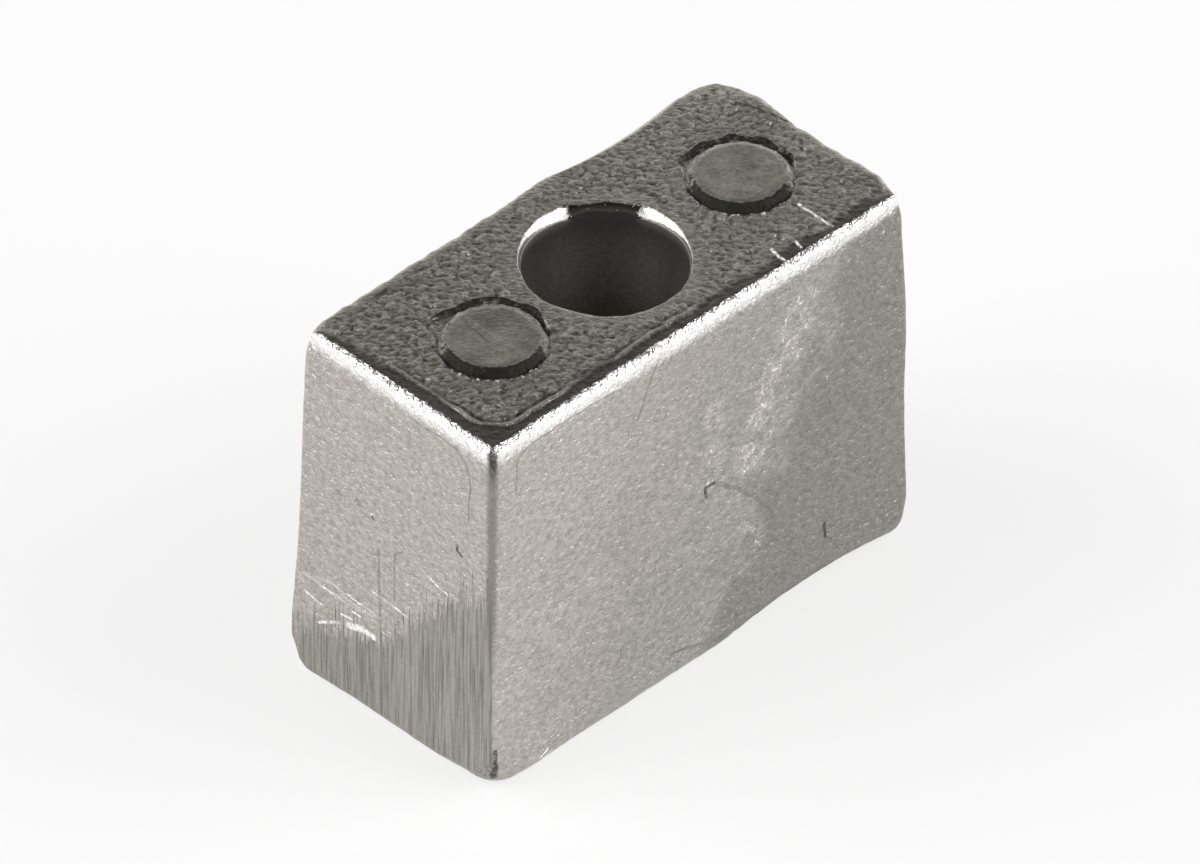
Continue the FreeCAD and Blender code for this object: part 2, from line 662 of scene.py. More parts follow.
@dataclass
class TopFace:
    """The as-cast top face: wrinkles, insert ridge and two ejector pads.

    Sizes are in millimetres. A pair of places gives where an effect starts to
    change and where it has changed fully. pad_profile gives the height at some
    distances from a pad's edge, and the grooves are widest at groove_turn
    degrees.
    """

    step: float = 0.2
    grid_shake: float = 0.18
    ring_columns: int = 150
    pads: tuple[Pad, ...] = (
        Pad(-14.3, -0.95, 4.65, (
            (-90.0, 4.95), (-30.0, 4.95), (-2.0, 5.4), (12.0, 5.6), (23.0, 5.35), (43.0, 5.8), (63.0, 5.6),
            (84.0, 5.4), (105.0, 6.0), (118.0, 5.8), (132.0, 4.95),
        )),
        Pad(15.9, -0.2, 4.6, (
            (-90.0, 4.9), (-30.0, 4.9), (-12.0, 5.4), (4.0, 5.25), (24.0, 5.6), (38.0, 5.35), (52.0, 5.7),
            (68.0, 5.3), (83.0, 5.6), (97.0, 5.4), (112.0, 5.6), (128.0, 4.9),
        )),
    )
    pad_profile: tuple[tuple[float, float], ...] = (
        (-0.95, 0.6),
        (-0.5, 0.5),
        (-0.2, 0.24),
        (0.0, -0.3),
        (0.42, -0.36),
        (0.72, 0.0),
    )
    groove_turn: float = 45.0
    groove_shade_width: float = 0.85
    groove_wander_radius: float = 4.8
    ridge_wander: float = 0.3
    pad_fold_x: float = -14.15
    pad_fold_y: tuple[float, float] = (-9.2, -5.2)
    pad_fold_slant: float = 0.35
    pad_fold_depth: float = 0.04
    pad_wave_height: float = 0.02
    ridge_low: tuple[float, float] = (-22.75, -9.65)
    ridge_high: tuple[float, float] = (23.3, 10.0)
    ridge_corner: float = 3.2
    ridge_height: float = 0.19
    ridge_half_width: float = 0.24
    ridge_end_x: tuple[float, float] = (-4.0, 6.0)
    ridge_end_y: tuple[float, float] = (0.0, 6.5)
    strong_ridge_place: tuple[float, float] = (-24.0, -11.0)
    trench_share: float = 0.5
    trench_inset: float = 0.5
    trench_half_width: float = 0.3
    wrinkle_height: float = 0.14
    wrinkle_axes: tuple[tuple[float, float], ...] = ((0.52, -0.52), (0.85, 0.85))
    calm_round_bore: tuple[float, float] = (7.9, 9.3)
    dark_end_x: tuple[float, float] = (-14.0, 8.0)
    edge_darkening_width: tuple[float, float] = (1.4, 0.5)
    edge_darkening_fade: tuple[float, float] = (-0.6, 0.7)

    def __post_init__(self) -> None:
        """Seeds the noises of the top face."""
        self.wrinkles = Grain(37)
        self.wander = Grain(41)

    def ridge_distance(self, flat: np.ndarray) -> np.ndarray:
        """Measures the way to the insert ridge.

        Args:
            flat: The points, seen from above.

        Returns:
            Each point's distance, positive outside the ridge.
        """
        low = np.array(self.ridge_low)
        high = np.array(self.ridge_high)
        away = np.abs(flat - (low + high) / 2) - (high - low) / 2 + self.ridge_corner
        outside = np.linalg.norm(np.maximum(away, 0), axis=1)
        return outside + np.minimum(away.max(axis=1), 0) - self.ridge_corner

    def mesh_plane(self, rim: np.ndarray, mouth: np.ndarray) -> tuple[np.ndarray, np.ndarray]:
        """Fills the face between its rim and the bore's mouth with triangles.

        Args:
            rim: The face's outer points, seen from above.
            mouth: The points of the bore's mouth, seen from above.

        Returns:
            All points, the rim and the mouth first, and the triangles.
        """
        loops = [rim, mouth]
        turns = np.linspace(0, 2 * math.pi, self.ring_columns, endpoint=False)
        circle = np.stack([np.cos(turns), np.sin(turns)], axis=1)
        for pad in self.pads:
            centre = np.array([pad.x, pad.y])
            loops += [centre + circle * (pad.radius + offset) for offset, _ in self.pad_profile]
        half = np.abs(rim).max(axis=0)
        wide = np.arange(-half[0], half[0], self.step)
        rows = np.arange(-half[1], half[1], self.step * math.sqrt(3) / 2)
        grid_x, grid_y = np.meshgrid(wide, rows)
        grid_x = grid_x + (np.arange(len(rows)) % 2)[:, None] * self.step / 2
        grid = np.stack([grid_x.ravel(), grid_y.ravel()], axis=1)
        shake = np.random.default_rng(5).uniform(-self.grid_shake, self.grid_shake, grid.shape)
        grid += shake * self.step
        clear = 0.7 * self.step
        keep = (half - np.abs(grid)).min(axis=1) > clear
        keep &= in_rounded_box(grid, half, clear)
        keep &= ~inside_loop(grid, mouth * (1 + clear / np.linalg.norm(mouth[0])))
        for pad in self.pads:
            reach = np.linalg.norm(grid - np.array([pad.x, pad.y]), axis=1) - pad.radius
            for offset, _ in self.pad_profile:
                keep &= np.abs(reach - offset) > 0.6 * clear
        return fill_face(loops, grid[keep], mouth, Fill.HULL)

    def pad_height(self, flat: np.ndarray) -> tuple[np.ndarray, ...]:
        """How high the pads and their grooves stand.

        Args:
            flat: The points, seen from above.

        Returns:
            The height, the share of pad skin, the painted shade in the groove and on the pad's front, and the
            painted glints at the groove's outer edge in front.
        """
        height = np.zeros(len(flat))
        skin = np.zeros(len(flat))
        shade = np.zeros(len(flat))
        glint = np.zeros(len(flat))
        offsets, levels = np.array(self.pad_profile).T
        for pad in self.pads:
            away = flat - np.array([pad.x, pad.y])
            reach = np.linalg.norm(away, axis=1) - pad.radius
            turn = np.arctan2(away[:, 1], away[:, 0])
            narrow = 0.5 - 0.5 * np.cos(turn - math.radians(self.groove_turn))
            in_narrow = smooth_step(narrow, 0.4, 0.6)
            beside = 1 - smooth_step(np.abs(narrow - 0.5), 0.1, 0.3)
            shape = np.interp(reach, offsets, levels, right=0.0)
            shape = np.where(shape < 0, shape * (1 - 0.8 * beside), shape)
            height = np.where(reach < offsets[-1], shape, height)
            skin = np.where(reach < offsets[1], 1.0, skin)
            # Painted shade fills each groove, and in front the pad's shoulder too; painted glints sit at the
            # groove's outer edge in front
            outer = pad.edge_at(np.degrees(turn)) - pad.radius
            start = outer * (1 - in_narrow) - self.groove_shade_width
            groove = smooth_step(reach, start, start + 0.4)
            groove *= 1 - smooth_step(reach, outer - 0.15, outer + 0.25)
            shade = np.maximum(shade, groove * (1 - 0.45 * beside) * (0.88 + 0.12 * in_narrow))
            glint = np.maximum(glint, hump(reach - 0.7, 0.24) * smooth_step(narrow, 0.7, 0.85))
        return height, skin, shade, glint

    def warp(self, flat: np.ndarray) -> np.ndarray:
        """Makes the pads' grooves uneven by moving points seen from above.

        Args:
            flat: The points, seen from above.

        Returns:
            The moved points.
        """
        moved = flat.copy()
        groove_width = self.pad_profile[-1][0]
        for pad in self.pads:
            away = flat - np.array([pad.x, pad.y])
            length = np.maximum(np.linalg.norm(away, axis=1), 0.01)
            outward = away / length[:, None]
            spot = self.groove_wander_radius * np.column_stack([outward, np.full(len(flat), pad.x)])
            edge = pad.edge_at(np.degrees(np.arctan2(away[:, 1], away[:, 0])))
            groove_end = pad.radius + groove_width
            uneven = edge - groove_end + 0.1 * self.wander.layered(spot, 1.3, 3)
            push = uneven * hump(length - groove_end, 0.36)
            bevel = 0.16 * self.wander.layered(spot + 7.0, 1.1, 3)
            push += bevel * hump(length - pad.radius + 0.2, 0.4)
            moved += outward * push[:, None]
        return moved

    def wrinkle_pattern(self, flat: np.ndarray) -> np.ndarray:
        """The crinkle of the skin: small bumps between creases.

        Args:
            flat: The points, seen from above.

        Returns:
            The pattern's height, mostly from -1 to 1.
        """
        across, along = np.array(self.wrinkle_axes)
        drawn_out = np.column_stack([flat @ across, flat @ along, np.zeros(len(flat))])
        bumps = self.wrinkles.layered(drawn_out, 0.5, 2)
        creases = 0.5 - np.abs(self.wrinkles.layered(drawn_out + 31, 1.0, 2)) * 1.6
        return 0.9 * bumps - 0.45 * np.maximum(creases, 0)

    def pad_fold(self, flat: np.ndarray, pad_skin: np.ndarray) -> np.ndarray:
        """Where the near pad's skin is folded down.

        Args:
            flat: The points, seen from above.
            pad_skin: The share of pad skin at each point.

        Returns:
            1 on the lower side of the fold, 0 elsewhere.
        """
        x, y = flat.T
        folded = smooth_step(x, self.pad_fold_x - 0.12, self.pad_fold_x + 0.12)
        folded *= smooth_step(y + self.pad_fold_slant * x, *self.pad_fold_y)
        return folded * pad_skin * (x < 0)

    def edge_darkening(self, flat: np.ndarray, uneven: np.ndarray) -> np.ndarray:
        """The darkening along the front edge and the gate edge.

        Args:
            flat: The points, seen from above.
            uneven: How far the darkening's border strays at each point.

        Returns:
            The darkening's share at each point.
        """
        darkening = np.zeros(len(flat))
        half = np.abs(flat).max(axis=0)
        for along, away in ((0, 1), (1, 0)):
            width = np.interp(flat[:, along], [-half[along], half[along]], self.edge_darkening_width)
            beyond = half[away] + flat[:, away] - width + uneven
            darkening = np.maximum(darkening, 1 - smooth_step(beyond, *self.edge_darkening_fade))
        return darkening

    def heights(self, flat: np.ndarray, rim_distance: np.ndarray) -> tuple[np.ndarray, dict[str, np.ndarray]]:
        """The top face's height over its plane, and what is painted on it.

        Args:
            flat: The points, seen from above.
            rim_distance: Each point's distance to the face's rim.

        Returns:
            The heights, and the painted values by name.
        """
        x, y = flat.T
        space = np.column_stack([flat, np.zeros(len(flat))])
        pad_height, pad_skin, shade, glint = self.pad_height(flat)
        bare = 1 - np.clip(pad_skin + shade, 0, 1)
        away = self.ridge_distance(flat) + self.ridge_wander * self.wander.layered(space, 3.2, 2)
        present = (1 - smooth_step(x, *self.ridge_end_x)) * (1 - smooth_step(y, *self.ridge_end_y))
        near_corner = hump(np.linalg.norm(flat - np.array(self.strong_ridge_place), axis=1), 9.0)
        strength = 0.65 + 0.5 * self.wander.at(space + 60, 6.0) + 0.5 * near_corner
        strength = np.clip(strength, 0.1, 1.2) * present
        trench = self.trench_share * hump(away + self.trench_inset, self.trench_half_width)
        ridge = hump(away, self.ridge_half_width) - trench
        rough = 1 - 0.6 * smooth_step(away, -0.6, 0.2) * present
        rough *= smooth_step(rim_distance, 0.0, 0.8)
        rough *= smooth_step(np.linalg.norm(flat, axis=1), *self.calm_round_bore) * 0.8 + 0.2
        pattern = self.wrinkle_pattern(flat) * rough
        wrinkle = self.wrinkle_height * pattern * (0.1 + 0.9 * bare)
        total = pad_height + (self.ridge_height * strength * ridge + wrinkle) * bare
        total += self.pad_wave_height * pad_skin * self.wander.layered(space, 3.0, 2)
        folded = self.pad_fold(flat, pad_skin)
        total -= self.pad_fold_depth * folded
        darkening = self.edge_darkening(flat, 0.7 * self.wander.layered(space + 90, 2.2, 3))
        darker = 0.2 * (1 - smooth_step(x, *self.dark_end_x))
        # The ridge's crest is painted light and the strip inside it dark: a painted highlight and a painted
        # shadow
        crest = hump(away, 0.22) - 0.8 * hump(away + 0.42, 0.25)
        paint = {
            # The crinkle pattern sets the painted shade in the hollows; it is lowered towards the gate end,
            # which is darker
            "wrinkle": np.clip((pattern - darker) * bare, -1.5, 1.5),
            "shade": shade,
            "glint": glint,
            # Lowered on the pad's folded side, which takes painted shade
            "pad": pad_skin - 0.3 * folded,
            "ridge": strength * crest * bare,
            "rim": np.maximum(smooth_step(away, -0.1, 0.35) * present, darkening) * bare,
        }
        return total, paint


@dataclass
class Bore:
    """The bore for the bolt's head, its seat and the bolt hole.

    mouth_spread gives the width of the mouth's worn rounding at some angles
    in degrees.
    """

    form: BlockForm
    columns: int = 150
    mouth_spread: tuple[tuple[float, float], ...] = (
        (-180.0, 0.35), (-138.0, 0.3), (-90.0, 0.22), (-30.0, 0.22), (-10.0, 0.4), (5.0, 0.7), (18.0, 0.85),
        (30.0, 0.55), (44.0, 0.65), (58.0, 0.5), (72.0, 0.9), (96.0, 0.7), (115.0, 0.45), (150.0, 0.3),
    )
    mouth_depth: float = 0.35
    mouth_slope: float = 0.8
    mouth_steps: int = 7
    seat_steps: int = 5
    bolt_steps: int = 4
    chamfer: float = 0.3
    chamfer_on_map: float = 0.5
    wall_step: float = 0.9
    bulge_turn: float = 206.0
    bulge_spread: float = 16.0
    bulge_depth: float = 0.25
    bulge_fall: float = 1.2
    light_turn: float = 45.0
    dark_turn: float = 46.0
    dark_reach: tuple[float, float] = (18.0, 28.0)

    def __post_init__(self) -> None:
        """Reads the hole's sizes from the record's mounts."""
        self.head_radius = mount("head_bore")["dims"]["r_mm"]
        self.bolt_radius = mount("bolt_hole")["dims"]["r_mm"]
        self.seat_height = mount("bolt_seat")["pos_m"][2] / MM
        turns = np.linspace(0, 2 * math.pi, self.columns, endpoint=False)
        self.circle = np.stack([np.cos(turns), np.sin(turns)], axis=1)
        self.degrees = np.degrees(turns)
        self.grain = Grain(53)
        angles, widths = np.array(self.mouth_spread).T
        even = np.interp(self.degrees, angles, widths, period=360.0)
        self.widths = even + 0.08 * self.grain.layered(self.ring(self.head_radius, 0.0), 1.6, 3)
        self.depths = self.mouth_depth + self.mouth_slope * self.widths

    def ring(self, radius: float | np.ndarray, height: float | np.ndarray) -> np.ndarray:
        """The points of one ring."""
        reach = np.broadcast_to(radius, (self.columns,))[:, None]
        return np.column_stack([self.circle * reach, np.broadcast_to(height, (self.columns,))])

    def mouth(self) -> np.ndarray:
        """The outermost ring of the mouth, seen from above."""
        return self.circle * (self.head_radius + self.widths)[:, None]

    def oxide(self) -> np.ndarray:
        """Paints a dark reflection on the far part of the mouth.

        Returns:
            How dark the mouth is at each column.
        """
        ragged = 0.3 * self.grain.layered(self.ring(self.head_radius, 9.0), 0.9, 2)
        reach = turn_between(self.degrees, self.dark_turn)
        return np.clip(1.2 * (1 - smooth_step(reach, *self.dark_reach)) + ragged, 0, 1)

    def bulge(self) -> np.ndarray:
        """How far the mouth bulges inward at each column."""
        return self.bulge_depth * hump(turn_between(self.degrees, self.bulge_turn), self.bulge_spread)

    def tarnish(self) -> np.ndarray:
        """How light the bore's wall is painted at each column: painted shade on the sides that the lamps
        reach.
        """
        facing = np.cos(np.radians(self.degrees - self.light_turn))
        return 0.35 + 0.65 * smooth_step(facing, 0.6, 1.0)

    def profile(self) -> list[tuple[np.ndarray, np.ndarray]]:
        """Draws the bore's wall from the mouth's second ring to the seat.

        Returns:
            The radii and heights of each ring's columns.
        """
        rows = []
        for step in range(1, self.mouth_steps + 1):
            share = step / self.mouth_steps
            turn = math.pi / 2 * share
            inward = (2 - math.sin(turn) - share) / 2
            downward = (1 - math.cos(turn) + share) / 2
            rows.append((self.head_radius + self.widths * inward, self.form.height - self.depths * downward))
        top = self.form.height - self.depths
        count = round((float(top.mean()) - self.seat_height) / self.wall_step)
        for step in range(1, count + 1):
            share = step / count
            rows.append((np.full(self.columns, self.head_radius), top + (self.seat_height - top) * share))
        return rows


@dataclass
class Casting:
    """The whole casting, put together as one closed mesh.

    ground_edge gives the height of the ground flat's border at some places
    across the gate end, in millimetres.
    """

    ground_edge: tuple[tuple[float, float], ...] = (
        (-12.2, 22.6), (-11.6, 22.5), (-9.2, 20.8), (-5.7, 17.9), (-0.4, 11.6),
        (2.0, 9.6), (4.8, 9.0), (7.5, 7.4), (11.3, 5.2), (12.2, 4.8),
    )
    skin_drop: float = 1.1
    top_edge_steps: int = 10
    foot_edge_steps: int = 9
    wall_steps: int = 64
    lip_height: float = 0.1
    lip_width: float = 0.7
    corner_reflection_inset: float = 0.35
    corner_reflection_width: float = 0.5
    foot_step: float = 0.8

    def __post_init__(self) -> None:
        """Makes the parts that give the casting its form."""
        self.form = BlockForm()
        self.outline = Outline(self.form)
        self.relief = Relief(self.form)
        self.top = TopFace()
        self.bore = Bore(self.form)
        self.store = MeshStore()
        self.ragged = Grain(61)

    def shell_rows(self) -> list[tuple[float, float, float, float, float]]:
        """The shell's rows from the top down.

        Returns:
            Half length, half width, inset, height and tilt of each row.
        """
        form = self.form
        level = math.pi / 2
        middle = form.height - form.top_radius
        rows = self.edge_rows(form.top_radius, middle, level, form.lean, self.top_edge_steps)
        wall_top = rows[-1][3]
        wall_foot = form.foot_radius * (1 + math.sin(form.lean))
        for step in range(1, self.wall_steps):
            height = wall_top + (wall_foot - wall_top) * step / self.wall_steps
            rows.append((form.half_length(height), form.half_width(height), 0.0, height, form.lean))
        rows += self.edge_rows(form.foot_radius, form.foot_radius, form.lean, -level, self.foot_edge_steps)
        return rows

    def edge_rows(
        self, radius: float, height: float, start: float, end: float, steps: int
    ) -> list[tuple[float, float, float, float, float]]:
        """The rows of the top's or the foot's rounded edge.

        Args:
            radius: The edge's rounding.
            height: The height of the rounding's middle.
            start: The first row's tilt in radians.
            end: The last row's tilt.
            steps: How many rows follow the first.

        Returns:
            Half length, half width, inset, height and tilt of each row.
        """
        half_length = self.form.half_length(height)
        half_width = self.form.half_width(height)
        rows = []
        for step in range(steps + 1):
            tilt = start + (end - start) * step / steps
            inset = radius / math.cos(self.form.lean) - radius * math.cos(tilt)
            level = height + radius * math.sin(tilt)
            rows.append((half_length - inset, half_width - inset, inset, level, tilt))
        return rows

    def build_shell(self) -> tuple[np.ndarray, np.ndarray]:
        """Adds the four sides with their rounded edges.

        Returns:
            The point numbers of the top row and of the foot row.
        """
        rows = self.shell_rows()
        outline = self.outline
        points = []
        normals = []
        for half_x, half_y, inset, height, tilt in rows:
            flat = outline.at(half_x, half_y, inset, height)
            points.append(np.column_stack([flat, np.full(outline.count, height)]))
            side = outline.outward * math.cos(tilt)
            normals.append(np.column_stack([side, np.full(outline.count, math.sin(tilt))]))
        grid = np.array(points)
        steps = np.linalg.norm(np.diff(grid[:, outline.count // 4], axis=0), axis=1)
        down = np.concatenate([[0], np.cumsum(steps)])
        flat_points = grid.reshape(-1, 3)
        flat_normals = np.array(normals).reshape(-1, 3)
        along = np.repeat(down, outline.count)
        ragged = self.ragged.layered(flat_points, 1.3, 2)
        lip = self.lip_height * ragged * hump(along - self.lip_width, self.lip_width)
        moved = flat_points + flat_normals * (self.relief.lift(flat_points) + lip)[:, None]
        moved = self.relief.grind(self.relief.wear(moved))
        moved[:, 2] = np.maximum(moved[:, 2], 0.0)
        paint = self.shell_paint(flat_points, flat_normals, along)
        facing = np.tile(outline.outward.sum(axis=1), len(rows))
        paint["rim"] = 1 - smooth_step(facing, -0.6, 0.2)
        numbers = self.store.add_points(moved, **paint).reshape(len(rows), outline.count)
        self.add_shell_faces(numbers, grid, down)
        return numbers[0], numbers[-1]

    def shell_paint(
        self, points: np.ndarray, normals: np.ndarray, along: np.ndarray
    ) -> dict[str, np.ndarray]:
        """What is painted on the four sides.

        Args:
            points: The points before they were moved.
            normals: Each point's outward direction.
            along: How far each point lies down the surface.

        Returns:
            The painted values by name.
        """
        x, y, z = points.T
        edge_y, edge_z = np.array(self.ground_edge).T
        rise = np.interp(y, edge_y, edge_z) - z
        on_gate = normals[:, 0] < -0.7
        # Painted dark reflection down the near upright corner, stronger higher up
        inset_x = x + self.form.half_length(z) - self.corner_reflection_inset
        inset_y = y + self.form.half_width(z) - self.corner_reflection_inset
        crease = hump(np.hypot(inset_x, inset_y), self.corner_reflection_width)
        crease *= 0.35 + 0.65 * smooth_step(z, 12.0, 22.0)
        away_side = smooth_step(normals[:, 0] + normals[:, 1], -0.2, 0.6)
        return {
            "from_top": along - self.skin_drop * away_side,
            "ground": np.where(on_gate, rise, OFF_GROUND),
            "crease": crease,
        }

    def add_shell_faces(self, numbers: np.ndarray, grid: np.ndarray, down: np.ndarray) -> None:
        """Adds the shell's faces, one side with half of each corner at a time.

        Args:
            numbers: The point numbers, by row and column.
            grid: The points before they were moved, by row and column.
            down: How far each row lies down the surface.
        """
        outline = self.outline
        middle = grid[len(grid) // 2]
        lengths = np.linalg.norm(np.roll(middle, -1, axis=0) - middle, axis=1)
        sheets = (Sheet.FRONT, Sheet.FAR, Sheet.BACK, Sheet.GATE)
        splits = []
        for index in range(len(sheets)):
            arc = np.flatnonzero((outline.corner == index) & (outline.share == 0))
            splits.append(arc[len(arc) // 2])
        splits.append(splits[0] + outline.count)
        for sheet, start, end in zip(sheets, splits, splits[1:]):
            columns = np.arange(start, end + 1) % outline.count
            across = np.concatenate([[0], np.cumsum(lengths[columns[:-1]])])
            self.store.add_grid(numbers[:, columns], across, down.max() - down, sheet)

    def build_top(self, rim: np.ndarray) -> np.ndarray:
        """Adds the top face.

        Args:
            rim: The point numbers of the shell's top row.

        Returns:
            The point numbers of the bore's mouth.
        """
        form, top = self.form, self.top
        half_x, half_y, inset, height, _ = self.shell_rows()[0]
        rim_flat = self.outline.at(half_x, half_y, inset, height)
        mouth_flat = self.bore.mouth()
        flat, triangles = top.mesh_plane(rim_flat, mouth_flat)
        own = flat[len(rim_flat):]
        rim_distance = np.minimum(half_x - np.abs(own[:, 0]), half_y - np.abs(own[:, 1]))
        heights, paint = top.heights(own, rim_distance)
        space = np.column_stack([own, np.full(len(own), form.height)])
        lift = self.relief.lift(space)
        warped = top.warp(own)
        moved = np.column_stack([warped, form.height + heights + lift])
        moved = self.relief.wear(moved)
        numbers = self.store.add_points(moved, from_top=-rim_distance, ground=OFF_GROUND, **paint)
        every = np.concatenate([rim, numbers])
        places = flat + np.array([half_x, half_y])
        self.store.add_faces(every[triangles], places[triangles], Sheet.TOP)
        return numbers[: len(mouth_flat)]

    def build_bore(self, mouth: np.ndarray) -> np.ndarray:
        """Adds the bore, its seat and the bolt hole.

        Args:
            mouth: The point numbers of the mouth's outermost ring.

        Returns:
            The point numbers of the ring where the bolt hole meets the foot.
        """
        seat_rim = self.build_wall(mouth)
        seat_middle = self.build_seat(seat_rim)
        return self.build_bolt_hole(seat_middle)

    def build_wall(self, mouth: np.ndarray) -> np.ndarray:
        """Adds the bore's mouth and wall.

        Args:
            mouth: The point numbers of the mouth's outermost ring.

        Returns:
            The point numbers of the wall's lowest ring.
        """
        bore, form = self.bore, self.form
        rings = [mouth]
        down = [0.0]
        last_reach = float((bore.head_radius + bore.widths).mean())
        last_level = form.height
        oxide = bore.oxide()
        tarnish = bore.tarnish()
        mouth_bulge = bore.bulge()
        for radius, height in bore.profile():
            points = bore.ring(radius, height)
            depth = form.height - height
            uneven = 0.05 * bore.grain.layered(points, 3.0, 3)
            bulge = mouth_bulge * np.exp(-depth / bore.bulge_fall)
            points[:, :2] -= bore.circle * (bulge + uneven)[:, None]
            wall = smooth_step(depth - bore.depths, -0.25, 0.05)
            paint = {"bore": depth, "wall": wall, "oxide": oxide, "tarnish": tarnish}
            rings.append(self.store.add_points(points, from_top=ABOVE_TOP, ground=OFF_GROUND, **paint))
            reach = float(radius.mean())
            level = float(height.mean())
            down.append(down[-1] + math.hypot(reach - last_reach, level - last_level))
            last_reach, last_level = reach, level
        self.add_rings(rings, bore.head_radius, down, Sheet.BORE)
        return rings[-1]

    def add_deep_ring(self, radius: float, height: float) -> np.ndarray:
        """Adds one ring of the seat or the bolt hole.

        Args:
            radius: The ring's radius.
            height: The ring's height.

        Returns:
            The ring's point numbers.
        """
        points = self.bore.ring(radius, height)
        depth = self.form.height - self.bore.seat_height
        paint = {"bore": depth, "wall": 1.0, "tarnish": 1.0}
        return self.store.add_points(points, from_top=ABOVE_TOP, ground=OFF_GROUND, **paint)

    def build_seat(self, rim: np.ndarray) -> np.ndarray:
        """Adds the flat seat round the bolt hole.

        Args:
            rim: The point numbers of the wall's lowest ring.

        Returns:
            The point numbers of the bolt hole's upper ring.
        """
        bore = self.bore
        rings = [rim]
        for step in range(1, bore.seat_steps + 1):
            radius = bore.head_radius + (bore.bolt_radius - bore.head_radius) * step / bore.seat_steps
            rings.append(self.add_deep_ring(radius, bore.seat_height))
        self.add_disc(rings, bore.head_radius)
        return rings[-1]

    def build_bolt_hole(self, top: np.ndarray) -> np.ndarray:
        """Adds the bolt hole with the chamfer at its foot.

        Args:
            top: The point numbers of the bolt hole's upper ring.

        Returns:
            The point numbers of the ring where it meets the foot.
        """
        bore = self.bore
        rings = [top]
        down = [0.0]
        for step in range(1, bore.bolt_steps + 1):
            height = bore.seat_height + (bore.chamfer - bore.seat_height) * step / bore.bolt_steps
            rings.append(self.add_deep_ring(bore.bolt_radius, height))
            down.append(bore.seat_height - height)
        points = bore.ring(bore.bolt_radius + bore.chamfer, 0.0)
        rings.append(self.store.add_points(points, from_top=FAR_BELOW_TOP, ground=OFF_GROUND))
        down.append(down[-1] + bore.chamfer_on_map)
        self.add_rings(rings, bore.bolt_radius, down, Sheet.BOLT)
        return rings[-1]

    def add_rings(self, rings: list[np.ndarray], radius: float, down: list[float], sheet: Sheet) -> None:
        """Adds the faces between closed rings.

        Args:
            rings: The point numbers of each ring, from the top down.
            radius: The radius that sets their width on the map.
            down: How far each ring lies down the surface.
            sheet: The map sheet that the faces lie on.
        """
        columns = self.bore.columns
        across = np.arange(columns + 1) / columns * 2 * math.pi * radius
        self.store.add_grid(closed_rows(rings), across, max(down) - np.array(down), sheet)

    def add_disc(self, rings: list[np.ndarray], radius: float) -> None:
        """Adds the faces of a flat ring-shaped floor.

        Args:
            rings: The point numbers of each ring, from the outermost in.
            radius: The outermost ring's radius.
        """
        rows = closed_rows(rings)
        places = self.store.points[rows][..., :2] + radius
        self.store.add_faces(quads(rows), quads(places), Sheet.SEAT)

    def build_foot(self, rim: np.ndarray, hole: np.ndarray) -> None:
        """Adds the flat mounting face.

        Args:
            rim: The point numbers of the shell's foot row.
            hole: The point numbers of the bolt hole's lower ring.
        """
        step = self.foot_step
        rim_flat, hole_flat = (self.store.points[loop, :2] for loop in (rim, hole))
        half = np.abs(rim_flat).max(axis=0)
        grid_x, grid_y = np.meshgrid(np.arange(-half[0], half[0], step), np.arange(-half[1], half[1], step))
        grid = np.stack([grid_x.ravel(), grid_y.ravel()], axis=1)
        keep = (half - np.abs(grid)).min(axis=1) > step
        keep &= in_rounded_box(grid, half, step / 2)
        keep &= np.linalg.norm(grid, axis=1) > self.bore.bolt_radius + step
        grid = grid[keep]
        flat, triangles = fill_face([rim_flat, hole_flat], grid, hole_flat, Fill.OUTER_LOOP)
        points = np.column_stack([grid, np.zeros(len(grid))])
        numbers = self.store.add_points(points, from_top=FAR_BELOW_TOP, ground=OFF_GROUND)
        every = np.concatenate([rim, hole, numbers])
        triangles = triangles[:, ::-1]
        self.store.add_faces(every[triangles], (flat + half)[triangles], Sheet.FOOT)

    def build(self) -> bpy.types.Object:
        """Builds and dresses the casting.

        Returns:
            The casting, riding on its body.
        """
        rim, foot = self.build_shell()
        mouth = self.build_top(rim)
        hole = self.build_bore(mouth)
        self.build_foot(foot, hole)
        casting = self.store.finish("anode_casting")
        casting.data.materials.append(CastZinc().material())
        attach(casting, BODY)
        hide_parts(CASTING_NODE)
        return casting


